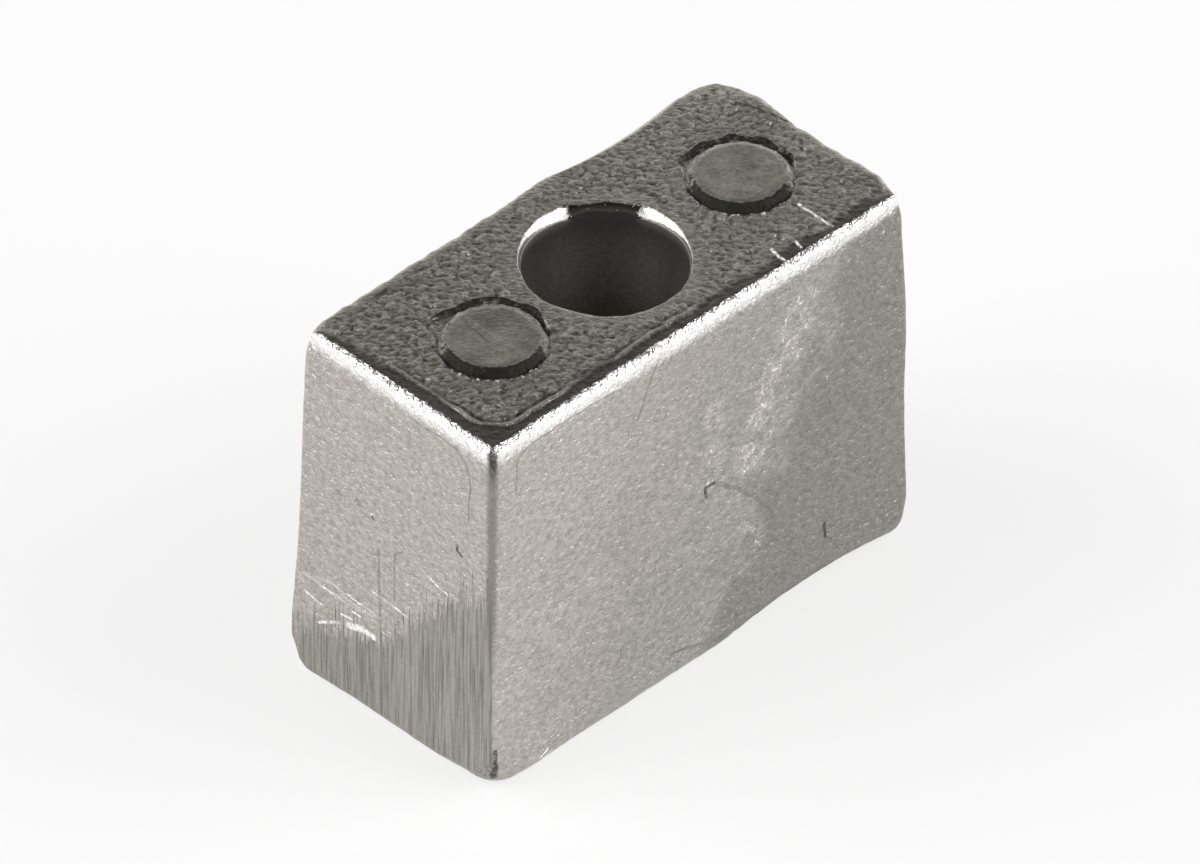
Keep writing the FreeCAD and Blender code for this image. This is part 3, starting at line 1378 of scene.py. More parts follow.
class Graph:
    """Builds the nodes of one material or node group in few words.

    The numbers are those of a Mix node's sockets: its share, its two values
    and its result.
    """

    COLOUR_INPUTS = (0, 6, 7)
    COLOUR_RESULT = 2
    VALUE_INPUTS = (0, 2, 3)
    VALUE_RESULT = 0

    def __init__(self, tree: bpy.types.NodeTree) -> None:
        """Keeps the node tree to build in."""
        self.tree = tree

    def node(self, kind: str, **settings: object) -> bpy.types.Node:
        """Adds a node.

        Args:
            kind: The node's type name, without ShaderNode.
            settings: The node's own settings.

        Returns:
            The node.
        """
        made = self.tree.nodes.new("ShaderNode" + kind)
        for name, value in settings.items():
            setattr(made, name, value)
        return made

    def put(self, socket: bpy.types.NodeSocket, value: object) -> None:
        """Links a socket to another, or sets its value.

        Args:
            socket: The socket to set.
            value: Another socket, or a value.
        """
        if isinstance(value, bpy.types.NodeSocket):
            self.tree.links.new(value, socket)
        else:
            socket.default_value = value

    def math(self, operation: str, *values: object) -> bpy.types.NodeSocket:
        """Calculates with one to three values.

        Args:
            operation: The calculation's name in Blender.
            values: Sockets or numbers.

        Returns:
            The result's socket.
        """
        made = self.node("Math", operation=operation)
        for socket, value in zip(made.inputs, values):
            self.put(socket, value)
        return made.outputs[0]

    def ease(self, value: object, low: object, high: object) -> bpy.types.NodeSocket:
        """Eases a value from 0 at low to 1 at high.

        Args:
            value: The socket to ease.
            low: Where the result is 0.
            high: Where the result is 1.

        Returns:
            The result's socket.
        """
        made = self.node("MapRange", interpolation_type="SMOOTHSTEP")
        for name, given in (("Value", value), ("From Min", low), ("From Max", high)):
            self.put(made.inputs[name], given)
        return made.outputs["Result"]

    def blend(self, share: object, first: object, second: object) -> bpy.types.NodeSocket:
        """Mixes two colours.

        Args:
            share: How much of the second colour.
            first: The colour at share 0.
            second: The colour at share 1.

        Returns:
            The mixed colour's socket.
        """
        made = self.node("Mix", data_type="RGBA")
        for index, value in zip(self.COLOUR_INPUTS, (share, first, second)):
            self.put(made.inputs[index], value)
        return made.outputs[self.COLOUR_RESULT]

    def mix_value(self, share: object, first: object, second: object) -> bpy.types.NodeSocket:
        """Mixes two values.

        Args:
            share: How much of the second value.
            first: The value at share 0.
            second: The value at share 1.

        Returns:
            The mixed value's socket.
        """
        made = self.node("Mix", data_type="FLOAT")
        for index, value in zip(self.VALUE_INPUTS, (share, first, second)):
            self.put(made.inputs[index], value)
        return made.outputs[self.VALUE_RESULT]

    def paint(self, name: str) -> bpy.types.NodeSocket:
        """A value painted on the mesh."""
        return self.node("Attribute", attribute_name=name).outputs["Fac"]

    def vector(self, operation: str, first: object, second: object, result: int = 0) -> bpy.types.NodeSocket:
        """Calculates with two vectors.

        Args:
            operation: The calculation's name in Blender.
            first: The first vector.
            second: The second vector.
            result: 1 where it gives a number.

        Returns:
            The result's socket.
        """
        made = self.node("VectorMath", operation=operation)
        self.put(made.inputs[0], first)
        self.put(made.inputs[1], second)
        return made.outputs[result]

    def stretch(self, place: object, scale: tuple[float, float, float]) -> bpy.types.NodeSocket:
        """A place with each axis scaled."""
        return self.vector("MULTIPLY", place, scale)

    def tint(self, colour: object, level: object) -> bpy.types.NodeSocket:
        """Makes a colour lighter or darker.

        Args:
            colour: The colour, or any vector.
            level: What each of its values is multiplied by.

        Returns:
            The result's socket.
        """
        made = self.node("VectorMath", operation="SCALE")
        self.put(made.inputs[0], colour)
        self.put(made.inputs["Scale"], level)
        return made.outputs[0]

    def shake(self, place: object, wavelength: float, reach: float) -> bpy.types.NodeSocket:
        """Moves a place a little by noise.

        Args:
            place: The place in millimetres.
            wavelength: The noise's scale in millimetres.
            reach: How far the noise can move it.

        Returns:
            The moved place's socket.
        """
        noise = self.node("TexNoise")
        self.put(noise.inputs["Vector"], place)
        noise.inputs["Scale"].default_value = 1 / wavelength
        made = self.node("VectorMath", operation="MULTIPLY_ADD")
        self.put(made.inputs[0], noise.outputs["Color"])
        made.inputs[1].default_value = (reach, reach, reach)
        half = reach / 2
        self.put(made.inputs[2], self.vector("SUBTRACT", place, (half, half, half)))
        return made.outputs[0]

    def noise(self, place: object, wavelength: float, detail: float, rough: float) -> bpy.types.NodeSocket:
        """Noise about 0.5.

        Args:
            place: The place in millimetres.
            wavelength: The noise's scale in millimetres.
            detail: How many finer layers.
            rough: How strong the finer layers are.

        Returns:
            The noise's socket.
        """
        made = self.node("TexNoise")
        self.put(made.inputs["Vector"], place)
        made.inputs["Scale"].default_value = 1 / wavelength
        made.inputs["Detail"].default_value = detail
        made.inputs["Roughness"].default_value = rough
        return made.outputs["Fac"]

    def swing(self, noise: bpy.types.NodeSocket, strength: float) -> bpy.types.NodeSocket:
        """Noise that swings about 0 by a strength."""
        return self.math("MULTIPLY", self.math("SUBTRACT", noise, 0.5), strength)

    def join(self, share: object, strength: float, first: object, second: object) -> bpy.types.NodeSocket:
        """Mixes two colours by a share that is weakened first.

        Args:
            share: Where the second colour shows.
            strength: How much of it shows there.
            first: The colour at share 0.
            second: The colour at share 1.

        Returns:
            The mixed colour's socket.
        """
        return self.blend(self.math("MULTIPLY", share, strength), first, second)


class Tone(Enum):
    """How a mark looks beside the surface round it: mostly scratches and creases, and a few painted glints,
    highlights, shade and dark reflections.
    """

    BRIGHT = "bright"
    PALE = "pale"
    DARK = "dark"
    FAINT = "faint"
    ROUGH = "rough"


class Face(Enum):
    """A face that bears marks: the axis across it and the face's place on that axis."""

    TOP = (2, 37.95)
    GATE = (0, -25.05)
    FRONT = (1, -11.8)

    def squeeze(self) -> tuple[float, float, float]:
        """Flattens places towards the face, so that a mark keeps to its surface.

        Returns:
            How much each axis counts when the way to a mark is measured.
        """
        scale = [1.0, 1.0, 1.0]
        scale[self.value[0]] = ACROSS_FACE
        return tuple(scale)

    def place(self, first: float, second: float) -> tuple[float, float, float]:
        """A place on the face, squeezed as the face's own places are.

        Args:
            first: Its place on the first of the other two axes.
            second: Its place on the second.

        Returns:
            The place.
        """
        axis, level = self.value
        found = [first, second]
        found.insert(axis, level * ACROSS_FACE)
        return tuple(found)


@dataclass(frozen=True)
class Mark:
    """A mark on a face that runs from one place to the next, in millimetres: mostly scratches and creases, in
    a few places painted shade, a painted dark reflection, a painted highlight or painted glints.
    """

    face: Face
    tone: Tone
    width: float
    places: tuple[tuple[float, float], ...]


MARKS = (
    Mark(Face.TOP, Tone.BRIGHT, 0.2, ((17.0, -6.2), (17.0, -10.2))),
    Mark(Face.TOP, Tone.BRIGHT, 0.24, ((11.1, -8.8), (10.8, -10.8))),
    Mark(Face.TOP, Tone.BRIGHT, 0.2, ((13.3, -9.5), (13.1, -10.3))),
    Mark(Face.TOP, Tone.FAINT, 0.34, ((8.6, 5.3), (9.0, 3.2), (8.4, 1.0))),
    Mark(Face.TOP, Tone.FAINT, 0.2, ((-14.9, 1.5), (-15.15, -1.3))),
    Mark(Face.TOP, Tone.DARK, 0.3, ((22.6, 6.8), (23.4, 5.0))),
    Mark(Face.TOP, Tone.DARK, 0.24, ((23.4, 4.7), (24.1, 2.4))),
    Mark(Face.TOP, Tone.DARK, 0.36, ((-17.8, 10.1), (-16.2, 10.15))),
    Mark(Face.TOP, Tone.FAINT, 0.3, ((-16.2, 10.15), (-12.6, 10.1))),
    Mark(Face.TOP, Tone.DARK, 0.26, ((-12.6, 10.1), (-11.5, 10.0))),
    # Painted shade in the groove behind the pad by the gate end
    Mark(Face.TOP, Tone.DARK, 0.26, ((-16.9, 4.4), (-15.3, 4.5), (-14.1, 4.3))),
    Mark(Face.TOP, Tone.DARK, 0.7, ((-10.2, -3.1), (-9.8, -3.6))),
    # Painted dark reflection on the near corner's rounding
    Mark(Face.TOP, Tone.DARK, 0.64, ((-24.6, -11.35), (-24.5, -11.25))),
    Mark(Face.GATE, Tone.PALE, 0.22, ((10.8, 11.4), (8.1, 11.3), (4.4, 11.2), (1.5, 12.0))),
    Mark(Face.GATE, Tone.BRIGHT, 0.15, ((8.3, 11.3), (6.9, 11.2))),
    Mark(Face.GATE, Tone.PALE, 0.2, ((7.9, 12.3), (6.0, 12.2))),
    Mark(Face.GATE, Tone.BRIGHT, 0.13, ((5.4, 12.2), (3.9, 12.0))),
    Mark(Face.GATE, Tone.PALE, 0.2, ((3.9, 12.0), (1.9, 12.0))),
    Mark(Face.GATE, Tone.PALE, 0.2, ((6.2, 11.7), (2.4, 11.5))),
    Mark(Face.GATE, Tone.BRIGHT, 0.13, ((2.7, 14.3), (1.9, 14.3))),
    Mark(Face.GATE, Tone.PALE, 0.2, ((2.4, 14.3), (-0.4, 14.2), (-1.8, 14.0))),
    Mark(Face.GATE, Tone.BRIGHT, 0.13, ((-0.2, 14.2), (-0.9, 14.1))),
    Mark(Face.GATE, Tone.BRIGHT, 0.17, ((10.4, 9.5), (9.3, 9.3), (8.5, 9.2))),
    Mark(Face.GATE, Tone.BRIGHT, 0.16, ((6.1, 9.6), (4.9, 9.8))),
    Mark(Face.GATE, Tone.BRIGHT, 0.16, ((4.8, 10.7), (3.9, 10.7))),
    Mark(Face.GATE, Tone.PALE, 0.2, ((-3.4, 20.3), (-4.4, 20.0))),
    Mark(Face.GATE, Tone.BRIGHT, 0.15, ((-4.4, 20.0), (-5.1, 19.7), (-6.4, 19.5))),
    # Painted highlights along the step at the ground flat's border
    Mark(Face.GATE, Tone.BRIGHT, 0.2, ((8.8, 7.0), (7.6, 7.8), (6.5, 8.4))),
    Mark(Face.GATE, Tone.BRIGHT, 0.5, ((5.2, 8.9), (3.4, 9.5), (2.3, 9.4))),
    Mark(Face.GATE, Tone.FAINT, 0.15, (
        (-2.4, 35.9), (-4.9, 36.1), (-7.1, 36.0), (-8.4, 35.2), (-8.9, 33.2), (-8.8, 29.0),
    )),
    Mark(Face.GATE, Tone.DARK, 0.22, ((-7.5, 25.6), (-7.4, 25.0), (-8.0, 24.7))),
    Mark(Face.GATE, Tone.FAINT, 0.16, ((-0.2, 15.0), (-0.1, 19.8), (-0.3, 20.2), (-1.1, 20.9))),
    Mark(Face.GATE, Tone.FAINT, 0.24, ((1.8, 19.4), (1.6, 12.0))),
    Mark(Face.GATE, Tone.FAINT, 0.42, ((6.8, 22.9), (6.5, 22.8))),
    Mark(Face.GATE, Tone.FAINT, 0.4, ((4.6, 23.2), (4.3, 23.0))),
    Mark(Face.GATE, Tone.DARK, 0.18, ((2.6, 22.6), (2.4, 22.4))),
    Mark(Face.FRONT, Tone.DARK, 0.34, ((-24.7, 5.2), (-24.6, 3.2), (-24.2, 1.4))),
    Mark(Face.FRONT, Tone.DARK, 0.24, ((0.7, 18.3), (0.5, 19.4), (1.6, 19.3))),
    Mark(Face.FRONT, Tone.FAINT, 0.3, ((1.6, 19.3), (4.6, 16.8), (7.0, 14.3), (8.4, 12.3), (8.9, 10.7))),
    Mark(Face.FRONT, Tone.DARK, 0.26, ((15.0, 6.9), (15.0, 5.4))),
    Mark(Face.FRONT, Tone.FAINT, 0.26, ((15.0, 5.4), (16.4, 4.1))),
    Mark(Face.FRONT, Tone.FAINT, 0.24, ((-3.9, 3.5), (1.6, 1.9), (5.9, 1.5), (9.2, 2.0))),
    Mark(Face.FRONT, Tone.FAINT, 0.2, ((-5.1, 36.9), (-7.6, 31.7))),
    Mark(Face.FRONT, Tone.FAINT, 0.17, (
        (-21.9, 32.0), (-21.9, 35.6), (-20.3, 36.4), (-17.6, 36.45), (-13.8, 36.5), (-9.8, 36.3),
    )),
    Mark(Face.FRONT, Tone.ROUGH, 3.2, ((12.0, 32.0), (9.9, 27.4), (7.8, 24.3), (6.2, 20.4))),
    Mark(Face.FRONT, Tone.ROUGH, 1.5, ((1.7, 27.4), (1.7, 23.0), (1.2, 19.9))),
    Mark(Face.FRONT, Tone.ROUGH, 1.1, ((-2.2, 24.4), (-2.0, 22.3))),
    Mark(Face.FRONT, Tone.ROUGH, 1.2, ((5.6, 12.2), (7.0, 10.0))),
    # Painted glints on the front face near its foot, by the gate end
    Mark(Face.FRONT, Tone.BRIGHT, 0.22, ((-19.6, 1.3), (-18.6, 1.9))),
    Mark(Face.FRONT, Tone.BRIGHT, 0.2, ((-18.9, 1.0), (-18.0, 1.4))),
)


class MarkLineGroup:
    """The node group that draws one straight stretch of a mark."""

    NAME = "scratch line"
    CORE = 0.35

    def tree(self) -> bpy.types.NodeTree:
        """The group, built once."""
        return bpy.data.node_groups.get(self.NAME) or self.build()

    def build(self) -> bpy.types.NodeTree:
        """Builds the group.

        Returns:
            The group's node tree.
        """
        tree = bpy.data.node_groups.new(self.NAME, "ShaderNodeTree")
        for name, kind in (("Place", "Vector"), ("Start", "Vector"), ("Line", "Vector"), ("Share", "Vector")):
            tree.interface.new_socket(name, in_out="INPUT", socket_type="NodeSocket" + kind)
        tree.interface.new_socket("Width", in_out="INPUT", socket_type="NodeSocketFloat")
        tree.interface.new_socket("Mask", in_out="OUTPUT", socket_type="NodeSocketFloat")
        graph = Graph(tree)
        given = tree.nodes.new("NodeGroupInput").outputs
        out = tree.nodes.new("NodeGroupOutput").inputs
        away = graph.vector("SUBTRACT", given["Place"], given["Start"])
        reach = graph.vector("DOT_PRODUCT", away, given["Share"], 1)
        share = graph.math("MINIMUM", graph.math("MAXIMUM", reach, 0.0), 1.0)
        nearest = graph.tint(given["Line"], share)
        gap = graph.vector("DISTANCE", away, nearest, 1)
        core = graph.math("MULTIPLY", given["Width"], self.CORE)
        graph.put(out["Mask"], graph.ease(gap, given["Width"], core))
        return tree

    def mask(self, graph: Graph, place: object, ends: tuple, width: float) -> bpy.types.NodeSocket:
        """Places the group in a material.

        Args:
            graph: The material's nodes.
            place: The place in millimetres.
            ends: The mark's two ends.
            width: Half the mark's width.

        Returns:
            The mask's socket.
        """
        start, end = (Vector(spot) for spot in ends)
        line = end - start
        node = graph.node("Group", node_tree=self.tree())
        graph.put(node.inputs["Place"], place)
        node.inputs["Start"].default_value = start
        node.inputs["Line"].default_value = line
        node.inputs["Share"].default_value = line / line.length_squared
        node.inputs["Width"].default_value = width
        return node.outputs["Mask"]


@dataclass(frozen=True)
class Masks:
    """The sockets that say where each look of the casting shows.

    spot is the place in millimetres, and fine, coarse, patchy and peel are
    noises about 0.5. The others go from 0 to 1.
    """

    spot: bpy.types.NodeSocket
    fine: bpy.types.NodeSocket
    coarse: bpy.types.NodeSocket
    patchy: bpy.types.NodeSocket
    peel: bpy.types.NodeSocket
    skin: bpy.types.NodeSocket
    band: bpy.types.NodeSocket
    mouth: bpy.types.NodeSocket
    wall: bpy.types.NodeSocket
    streak: bpy.types.NodeSocket
    ground: bpy.types.NodeSocket
    bright: bpy.types.NodeSocket
    pale: bpy.types.NodeSocket
    dark: bpy.types.NodeSocket
    faint: bpy.types.NodeSocket
    zone: bpy.types.NodeSocket


@dataclass(frozen=True)
class CastZinc:
    """The finish of the cast zinc: bright sides, dark oxide skin, ground gate.

    A pair of numbers gives where a look starts and where it is full.
    """

    side_colour: tuple[float, ...] = (0.47, 0.427, 0.396, 1.0)
    cool_side_colour: tuple[float, ...] = (0.362, 0.341, 0.315, 1.0)
    dull_side_colour: tuple[float, ...] = (0.252, 0.243, 0.218, 1.0)
    sparkle_colour: tuple[float, ...] = (0.86, 0.81, 0.78, 1.0)
    skin_colour: tuple[float, ...] = (0.56, 0.536, 0.47, 1.0)
    pit_colour: tuple[float, ...] = (0.055, 0.052, 0.044, 1.0)
    groove_shade_colour: tuple[float, ...] = (0.032, 0.03, 0.026, 1.0)
    pad_colour: tuple[float, ...] = (0.41, 0.393, 0.342, 1.0)
    pad_fold_shade_colour: tuple[float, ...] = (0.26, 0.248, 0.215, 1.0)
    ridge_highlight_colour: tuple[float, ...] = (0.6, 0.575, 0.506, 1.0)
    edge_colour: tuple[float, ...] = (0.92, 0.91, 0.89, 1.0)
    ground_colour: tuple[float, ...] = (0.34, 0.328, 0.294, 1.0)
    ground_dark_colour: tuple[float, ...] = (0.14, 0.135, 0.117, 1.0)
    bore_colour: tuple[float, ...] = (0.4, 0.36, 0.335, 1.0)
    bore_dark_colour: tuple[float, ...] = (0.03, 0.027, 0.025, 1.0)
    crease_and_shade_colour: tuple[float, ...] = (0.19, 0.18, 0.165, 1.0)
    mark_colour: tuple[float, ...] = (0.07, 0.067, 0.06, 1.0)
    cool_start: tuple[float, float] = (-34.0, -6.0)
    dull_start: tuple[float, float] = (-2.5, 4.0)
    slant: float = -0.45
    skin_edge: tuple[float, float] = (0.2, 0.26)
    band_fade: tuple[float, float] = (1.35, 2.5)
    ground_start: tuple[float, float] = (0.9, 1.5)
    ground_streak: float = 4.6
    grain_turn: float = -math.pi / 4
    grain_stretch: tuple[float, float, float] = (1.5, 0.85, 1.0)
    side_roughness: float = 0.32
    skin_roughness: float = 0.35
    groove_roughness: float = 0.75
    band_roughness: float = 0.24
    ground_roughness: float = 0.38
    mouth_roughness: float = 0.2
    wall_roughness: float = 0.6
    mark_roughness: float = 0.7
    bright_mark_roughness: float = 0.25
    side_metal: float = 0.65
    skin_metal: float = 0.93
    mouth_metal: float = 0.9
    wall_metal: float = 0.15
    peel_height: float = 0.38
    grain_height: float = 0.03
    crinkle_height: float = 0.14

    def marks(self, graph: Graph, spot: bpy.types.NodeSocket, tone: Tone) -> bpy.types.NodeSocket:
        """Joins the marks of one tone.

        Args:
            graph: The material's nodes.
            spot: The place in millimetres.
            tone: Which marks to draw.

        Returns:
            The mask's socket.
        """
        total = 0.0
        group = MarkLineGroup()
        for face in Face:
            squeezed = graph.stretch(spot, face.squeeze())
            for mark in MARKS:
                if mark.tone is not tone or mark.face is not face:
                    continue
                places = [face.place(*place) for place in mark.places]
                for ends in zip(places, places[1:]):
                    total = graph.math("MAXIMUM", total, group.mask(graph, squeezed, ends, mark.width))
        return total

    def masks(self, graph: Graph) -> Masks:
        """Works out where each look shows.

        Args:
            graph: The material's nodes.

        Returns:
            The sockets.
        """
        spot = graph.stretch(graph.node("TexCoord").outputs["Object"], (1 / MM, 1 / MM, 1 / MM))
        fine = graph.noise(spot, 0.4, 2.0, 0.55)
        along = graph.node("Mapping", vector_type="TEXTURE")
        graph.put(along.inputs["Vector"], spot)
        along.inputs["Rotation"].default_value = (0.0, 0.0, self.grain_turn)
        along.inputs["Scale"].default_value = self.grain_stretch
        coarse = graph.noise(along.outputs[0], 0.37, 2.0, 0.68)
        patchy = graph.noise(spot, 2.6, 1.0, 0.6)
        peel = graph.noise(spot, 0.64, 2.0, 0.72)
        fray = graph.swing(graph.noise(spot, 0.5, 2.0, 0.65), 1.1)
        drawn = graph.shake(spot, 1.4, 0.5)

        from_top = graph.math("ADD", graph.paint("from_top"), fray)
        skin = graph.math("SUBTRACT", 1.0, graph.ease(from_top, *self.skin_edge))
        faded = graph.math("ADD", from_top, graph.swing(coarse, 1.2))
        band = graph.math("SUBTRACT", 1.0, graph.ease(faded, *self.band_fade))
        mouth = graph.ease(graph.paint("bore"), 0.0, 0.12)
        wall = graph.paint("wall")
        streak = graph.noise(graph.stretch(spot, (1.0, 1.0, 0.03)), 0.22, 3.0, 0.65)
        spike = graph.noise(graph.stretch(spot, (1.0, 1.0, 0.06)), 0.3, 2.0, 0.75)
        reach = graph.math("POWER", graph.ease(spike, 0.36, 0.72), 1.6)
        level = graph.math("ADD", graph.paint("ground"), graph.math("MULTIPLY", reach, self.ground_streak))
        ground = graph.math("MULTIPLY", graph.ease(level, *self.ground_start), 0.92)

        # Painted glints at the outer edge of the pads' grooves, in front; they join the bright marks
        glint = graph.math("MULTIPLY", graph.paint("glint"), graph.ease(fine, 0.57, 0.61))
        scraped = graph.ease(fine, 0.4, 0.54)
        bright = self.marks(graph, spot, Tone.BRIGHT)
        bright = graph.math("MULTIPLY", bright, graph.mix_value(scraped, 0.3, 1.0))
        bright = graph.math("MAXIMUM", bright, glint)
        pale = self.marks(graph, spot, Tone.PALE)
        broken = graph.ease(peel, 0.36, 0.5)
        dark = self.marks(graph, drawn, Tone.DARK)
        dark = graph.math("MULTIPLY", dark, graph.mix_value(broken, 0.4, 1.0))
        faint = self.marks(graph, drawn, Tone.FAINT)
        torn = graph.ease(graph.noise(spot, 1.6, 2.0, 0.65), 0.38, 0.56)
        zone = self.marks(graph, graph.shake(spot, 2.4, 2.2), Tone.ROUGH)
        zone = graph.math("MULTIPLY", zone, torn)
        return Masks(
            spot=spot, fine=fine, coarse=coarse, patchy=patchy, peel=peel, skin=skin, band=band,
            mouth=mouth, wall=wall, streak=streak, ground=ground, bright=bright, pale=pale,
            dark=dark, faint=faint, zone=zone,
        )

    def side_tone(self, graph: Graph, masks: Masks) -> bpy.types.NodeSocket:
        """The colour of the upright sides.

        Args:
            graph: The material's nodes.
            masks: Where each look shows.

        Returns:
            The colour's socket.
        """
        split = graph.node("SeparateXYZ")
        graph.put(split.inputs[0], masks.spot)
        x, _, z = split.outputs
        drift = graph.swing(graph.noise(masks.spot, 6.0, 3.0, 0.62), 24.0)
        slanted = graph.math("ADD", graph.math("ADD", x, drift), graph.math("MULTIPLY", z, self.slant))
        colour = graph.blend(graph.ease(slanted, *self.cool_start), self.side_colour, self.cool_side_colour)
        colour = graph.blend(graph.ease(slanted, *self.dull_start), colour, self.dull_side_colour)
        # The rough zone is lightened and gets more sparkles; the sparkles are painted glints
        colour = graph.join(masks.zone, 0.16, colour, self.sparkle_colour)
        flecks = graph.noise(graph.stretch(masks.spot, (1.0, 1.0, 0.6)), 0.4, 2.0, 0.65)
        limit = graph.mix_value(masks.zone, 0.69, 0.55)
        sparkle = graph.ease(flecks, limit, graph.math("ADD", limit, 0.1))
        colour = graph.join(sparkle, 0.85, colour, self.sparkle_colour)
        # Painted shade: the sides are darker in the peel's hollows and lighter on its rises
        return graph.tint(colour, graph.math("ADD", 1.0, graph.swing(masks.peel, 1.05)))

    def top_tone(self, graph: Graph, masks: Masks) -> bpy.types.NodeSocket:
        """The colour of the as-cast top face.

        Args:
            graph: The material's nodes.
            masks: Where each look shows.

        Returns:
            The colour's socket.
        """
        fine, coarse = masks.fine, masks.coarse
        grain = graph.swing(fine, 1.4)
        # Painted shade: the skin is darker in the crinkle's hollows and lighter on its rises
        low = graph.math("SUBTRACT", graph.swing(coarse, -3.1), graph.paint("wrinkle"))
        depth = graph.math("ADD", grain, low)
        colour = graph.blend(graph.ease(depth, -1.0, 1.9), self.skin_colour, self.pit_colour)
        pad = graph.paint("pad")
        # The pad's folded side takes painted shade
        pad_tone = graph.blend(graph.ease(pad, 0.5, 1.0), self.pad_fold_shade_colour, self.pad_colour)
        mottle = graph.math("ADD", graph.swing(fine, 1.0), graph.swing(masks.patchy, 0.8))
        pad_tone = graph.tint(pad_tone, graph.math("ADD", 1.0, mottle))
        colour = graph.blend(graph.ease(pad, 0.1, 0.5), colour, pad_tone)
        rim = graph.math("ADD", graph.paint("rim"), graph.swing(coarse, 1.4))
        colour = graph.join(graph.ease(rim, 0.25, 0.95), 0.76, colour, self.pit_colour)
        # Painted highlight on the ridge's crest and painted shadow in the strip inside it
        ridge = graph.paint("ridge")
        colour = graph.join(graph.ease(ridge, 0.1, 0.9), 0.85, colour, self.ridge_highlight_colour)
        trench = graph.ease(graph.math("MULTIPLY", ridge, -1.0), 0.1, 0.7)
        colour = graph.join(trench, 0.7, colour, self.pit_colour)
        # Painted shade in the pads' grooves and on their fronts, with ragged edges
        ragged = graph.math("ADD", graph.swing(coarse, 2.2), grain)
        shade = graph.math("ADD", graph.paint("shade"), graph.math("MULTIPLY", ragged, 0.5))
        return graph.blend(graph.ease(shade, 0.15, 0.85), colour, self.groove_shade_colour)

    def colour(self, graph: Graph, masks: Masks) -> bpy.types.NodeSocket:
        """The colour of the whole casting.

        Args:
            graph: The material's nodes.
            masks: Where each look shows.

        Returns:
            The colour's socket.
        """
        fine, coarse = masks.fine, masks.coarse
        colour = self.side_tone(graph, masks)
        colour = graph.blend(masks.band, colour, self.edge_colour)
        colour = graph.blend(masks.skin, colour, self.top_tone(graph, masks))
        tone = graph.blend(graph.ease(masks.streak, 0.3, 0.62), self.ground_dark_colour, self.ground_colour)
        tone = graph.tint(tone, graph.math("ADD", 1.0, graph.swing(fine, 0.4)))
        colour = graph.blend(masks.ground, colour, tone)
        # Painted dark reflection on the far part of the mouth, which is otherwise bright
        oxide = graph.math("ADD", graph.paint("oxide"), graph.swing(fine, 2.4))
        tone = graph.blend(graph.ease(oxide, 0.4, 0.6), self.edge_colour, self.pit_colour)
        colour = graph.blend(masks.mouth, colour, tone)
        # Painted light and shade: the bore's wall is lighter deeper down and darker on the sides that the
        # lamps reach
        tarnish = graph.paint("tarnish")
        lightness = graph.math("MULTIPLY", tarnish, graph.ease(graph.paint("bore"), 0.0, 11.0))
        tone = graph.blend(lightness, self.bore_dark_colour, self.bore_colour)
        tone = graph.tint(tone, graph.math("ADD", 1.0, graph.swing(coarse, 1.0)))
        colour = graph.blend(masks.wall, colour, tone)
        # Painted dark reflection down the near upright corner; the faint marks below are creases
        crease = graph.math("ADD", graph.paint("crease"), graph.swing(fine, 0.3))
        colour = graph.join(graph.ease(crease, 0.15, 0.85), 0.7, colour, self.crease_and_shade_colour)
        colour = graph.join(masks.faint, 0.55, colour, self.crease_and_shade_colour)
        colour = graph.join(masks.pale, 0.3, colour, self.edge_colour)
        colour = graph.join(masks.dark, 0.92, colour, self.mark_colour)
        # Bright scratches, with painted glints and painted highlights
        return graph.blend(masks.bright, colour, self.edge_colour)

    def roughness(self, graph: Graph, masks: Masks, edge: bpy.types.NodeSocket) -> bpy.types.NodeSocket:
        """The roughness of the whole casting.

        Args:
            graph: The material's nodes.
            masks: Where each look shows.
            edge: Where the bright band below the skin shows.

        Returns:
            The roughness's socket.
        """
        rough = graph.mix_value(masks.skin, self.side_roughness, self.skin_roughness)
        in_groove = graph.math("MULTIPLY", graph.paint("shade"), 0.8)
        rough = graph.mix_value(in_groove, rough, self.groove_roughness)
        rough = graph.mix_value(edge, rough, self.band_roughness)
        rough = graph.mix_value(masks.ground, rough, self.ground_roughness)
        rough = graph.mix_value(masks.mouth, rough, self.mouth_roughness)
        rough = graph.mix_value(masks.wall, rough, self.wall_roughness)
        rough = graph.mix_value(masks.dark, rough, self.mark_roughness)
        return graph.mix_value(masks.bright, rough, self.bright_mark_roughness)

    def metal(self, graph: Graph, masks: Masks, edge: bpy.types.NodeSocket) -> bpy.types.NodeSocket:
        """How metallic the whole casting is.

        Args:
            graph: The material's nodes.
            masks: Where each look shows.
            edge: Where the bright band below the skin shows.

        Returns:
            The share's socket.
        """
        metal = graph.mix_value(graph.math("MAXIMUM", masks.skin, edge), self.side_metal, self.skin_metal)
        metal = graph.mix_value(masks.mouth, metal, self.mouth_metal)
        metal = graph.mix_value(masks.wall, metal, self.wall_metal)
        # Bright marks and painted glints are not metallic, so that they show white
        return graph.mix_value(masks.bright, metal, 0.0)

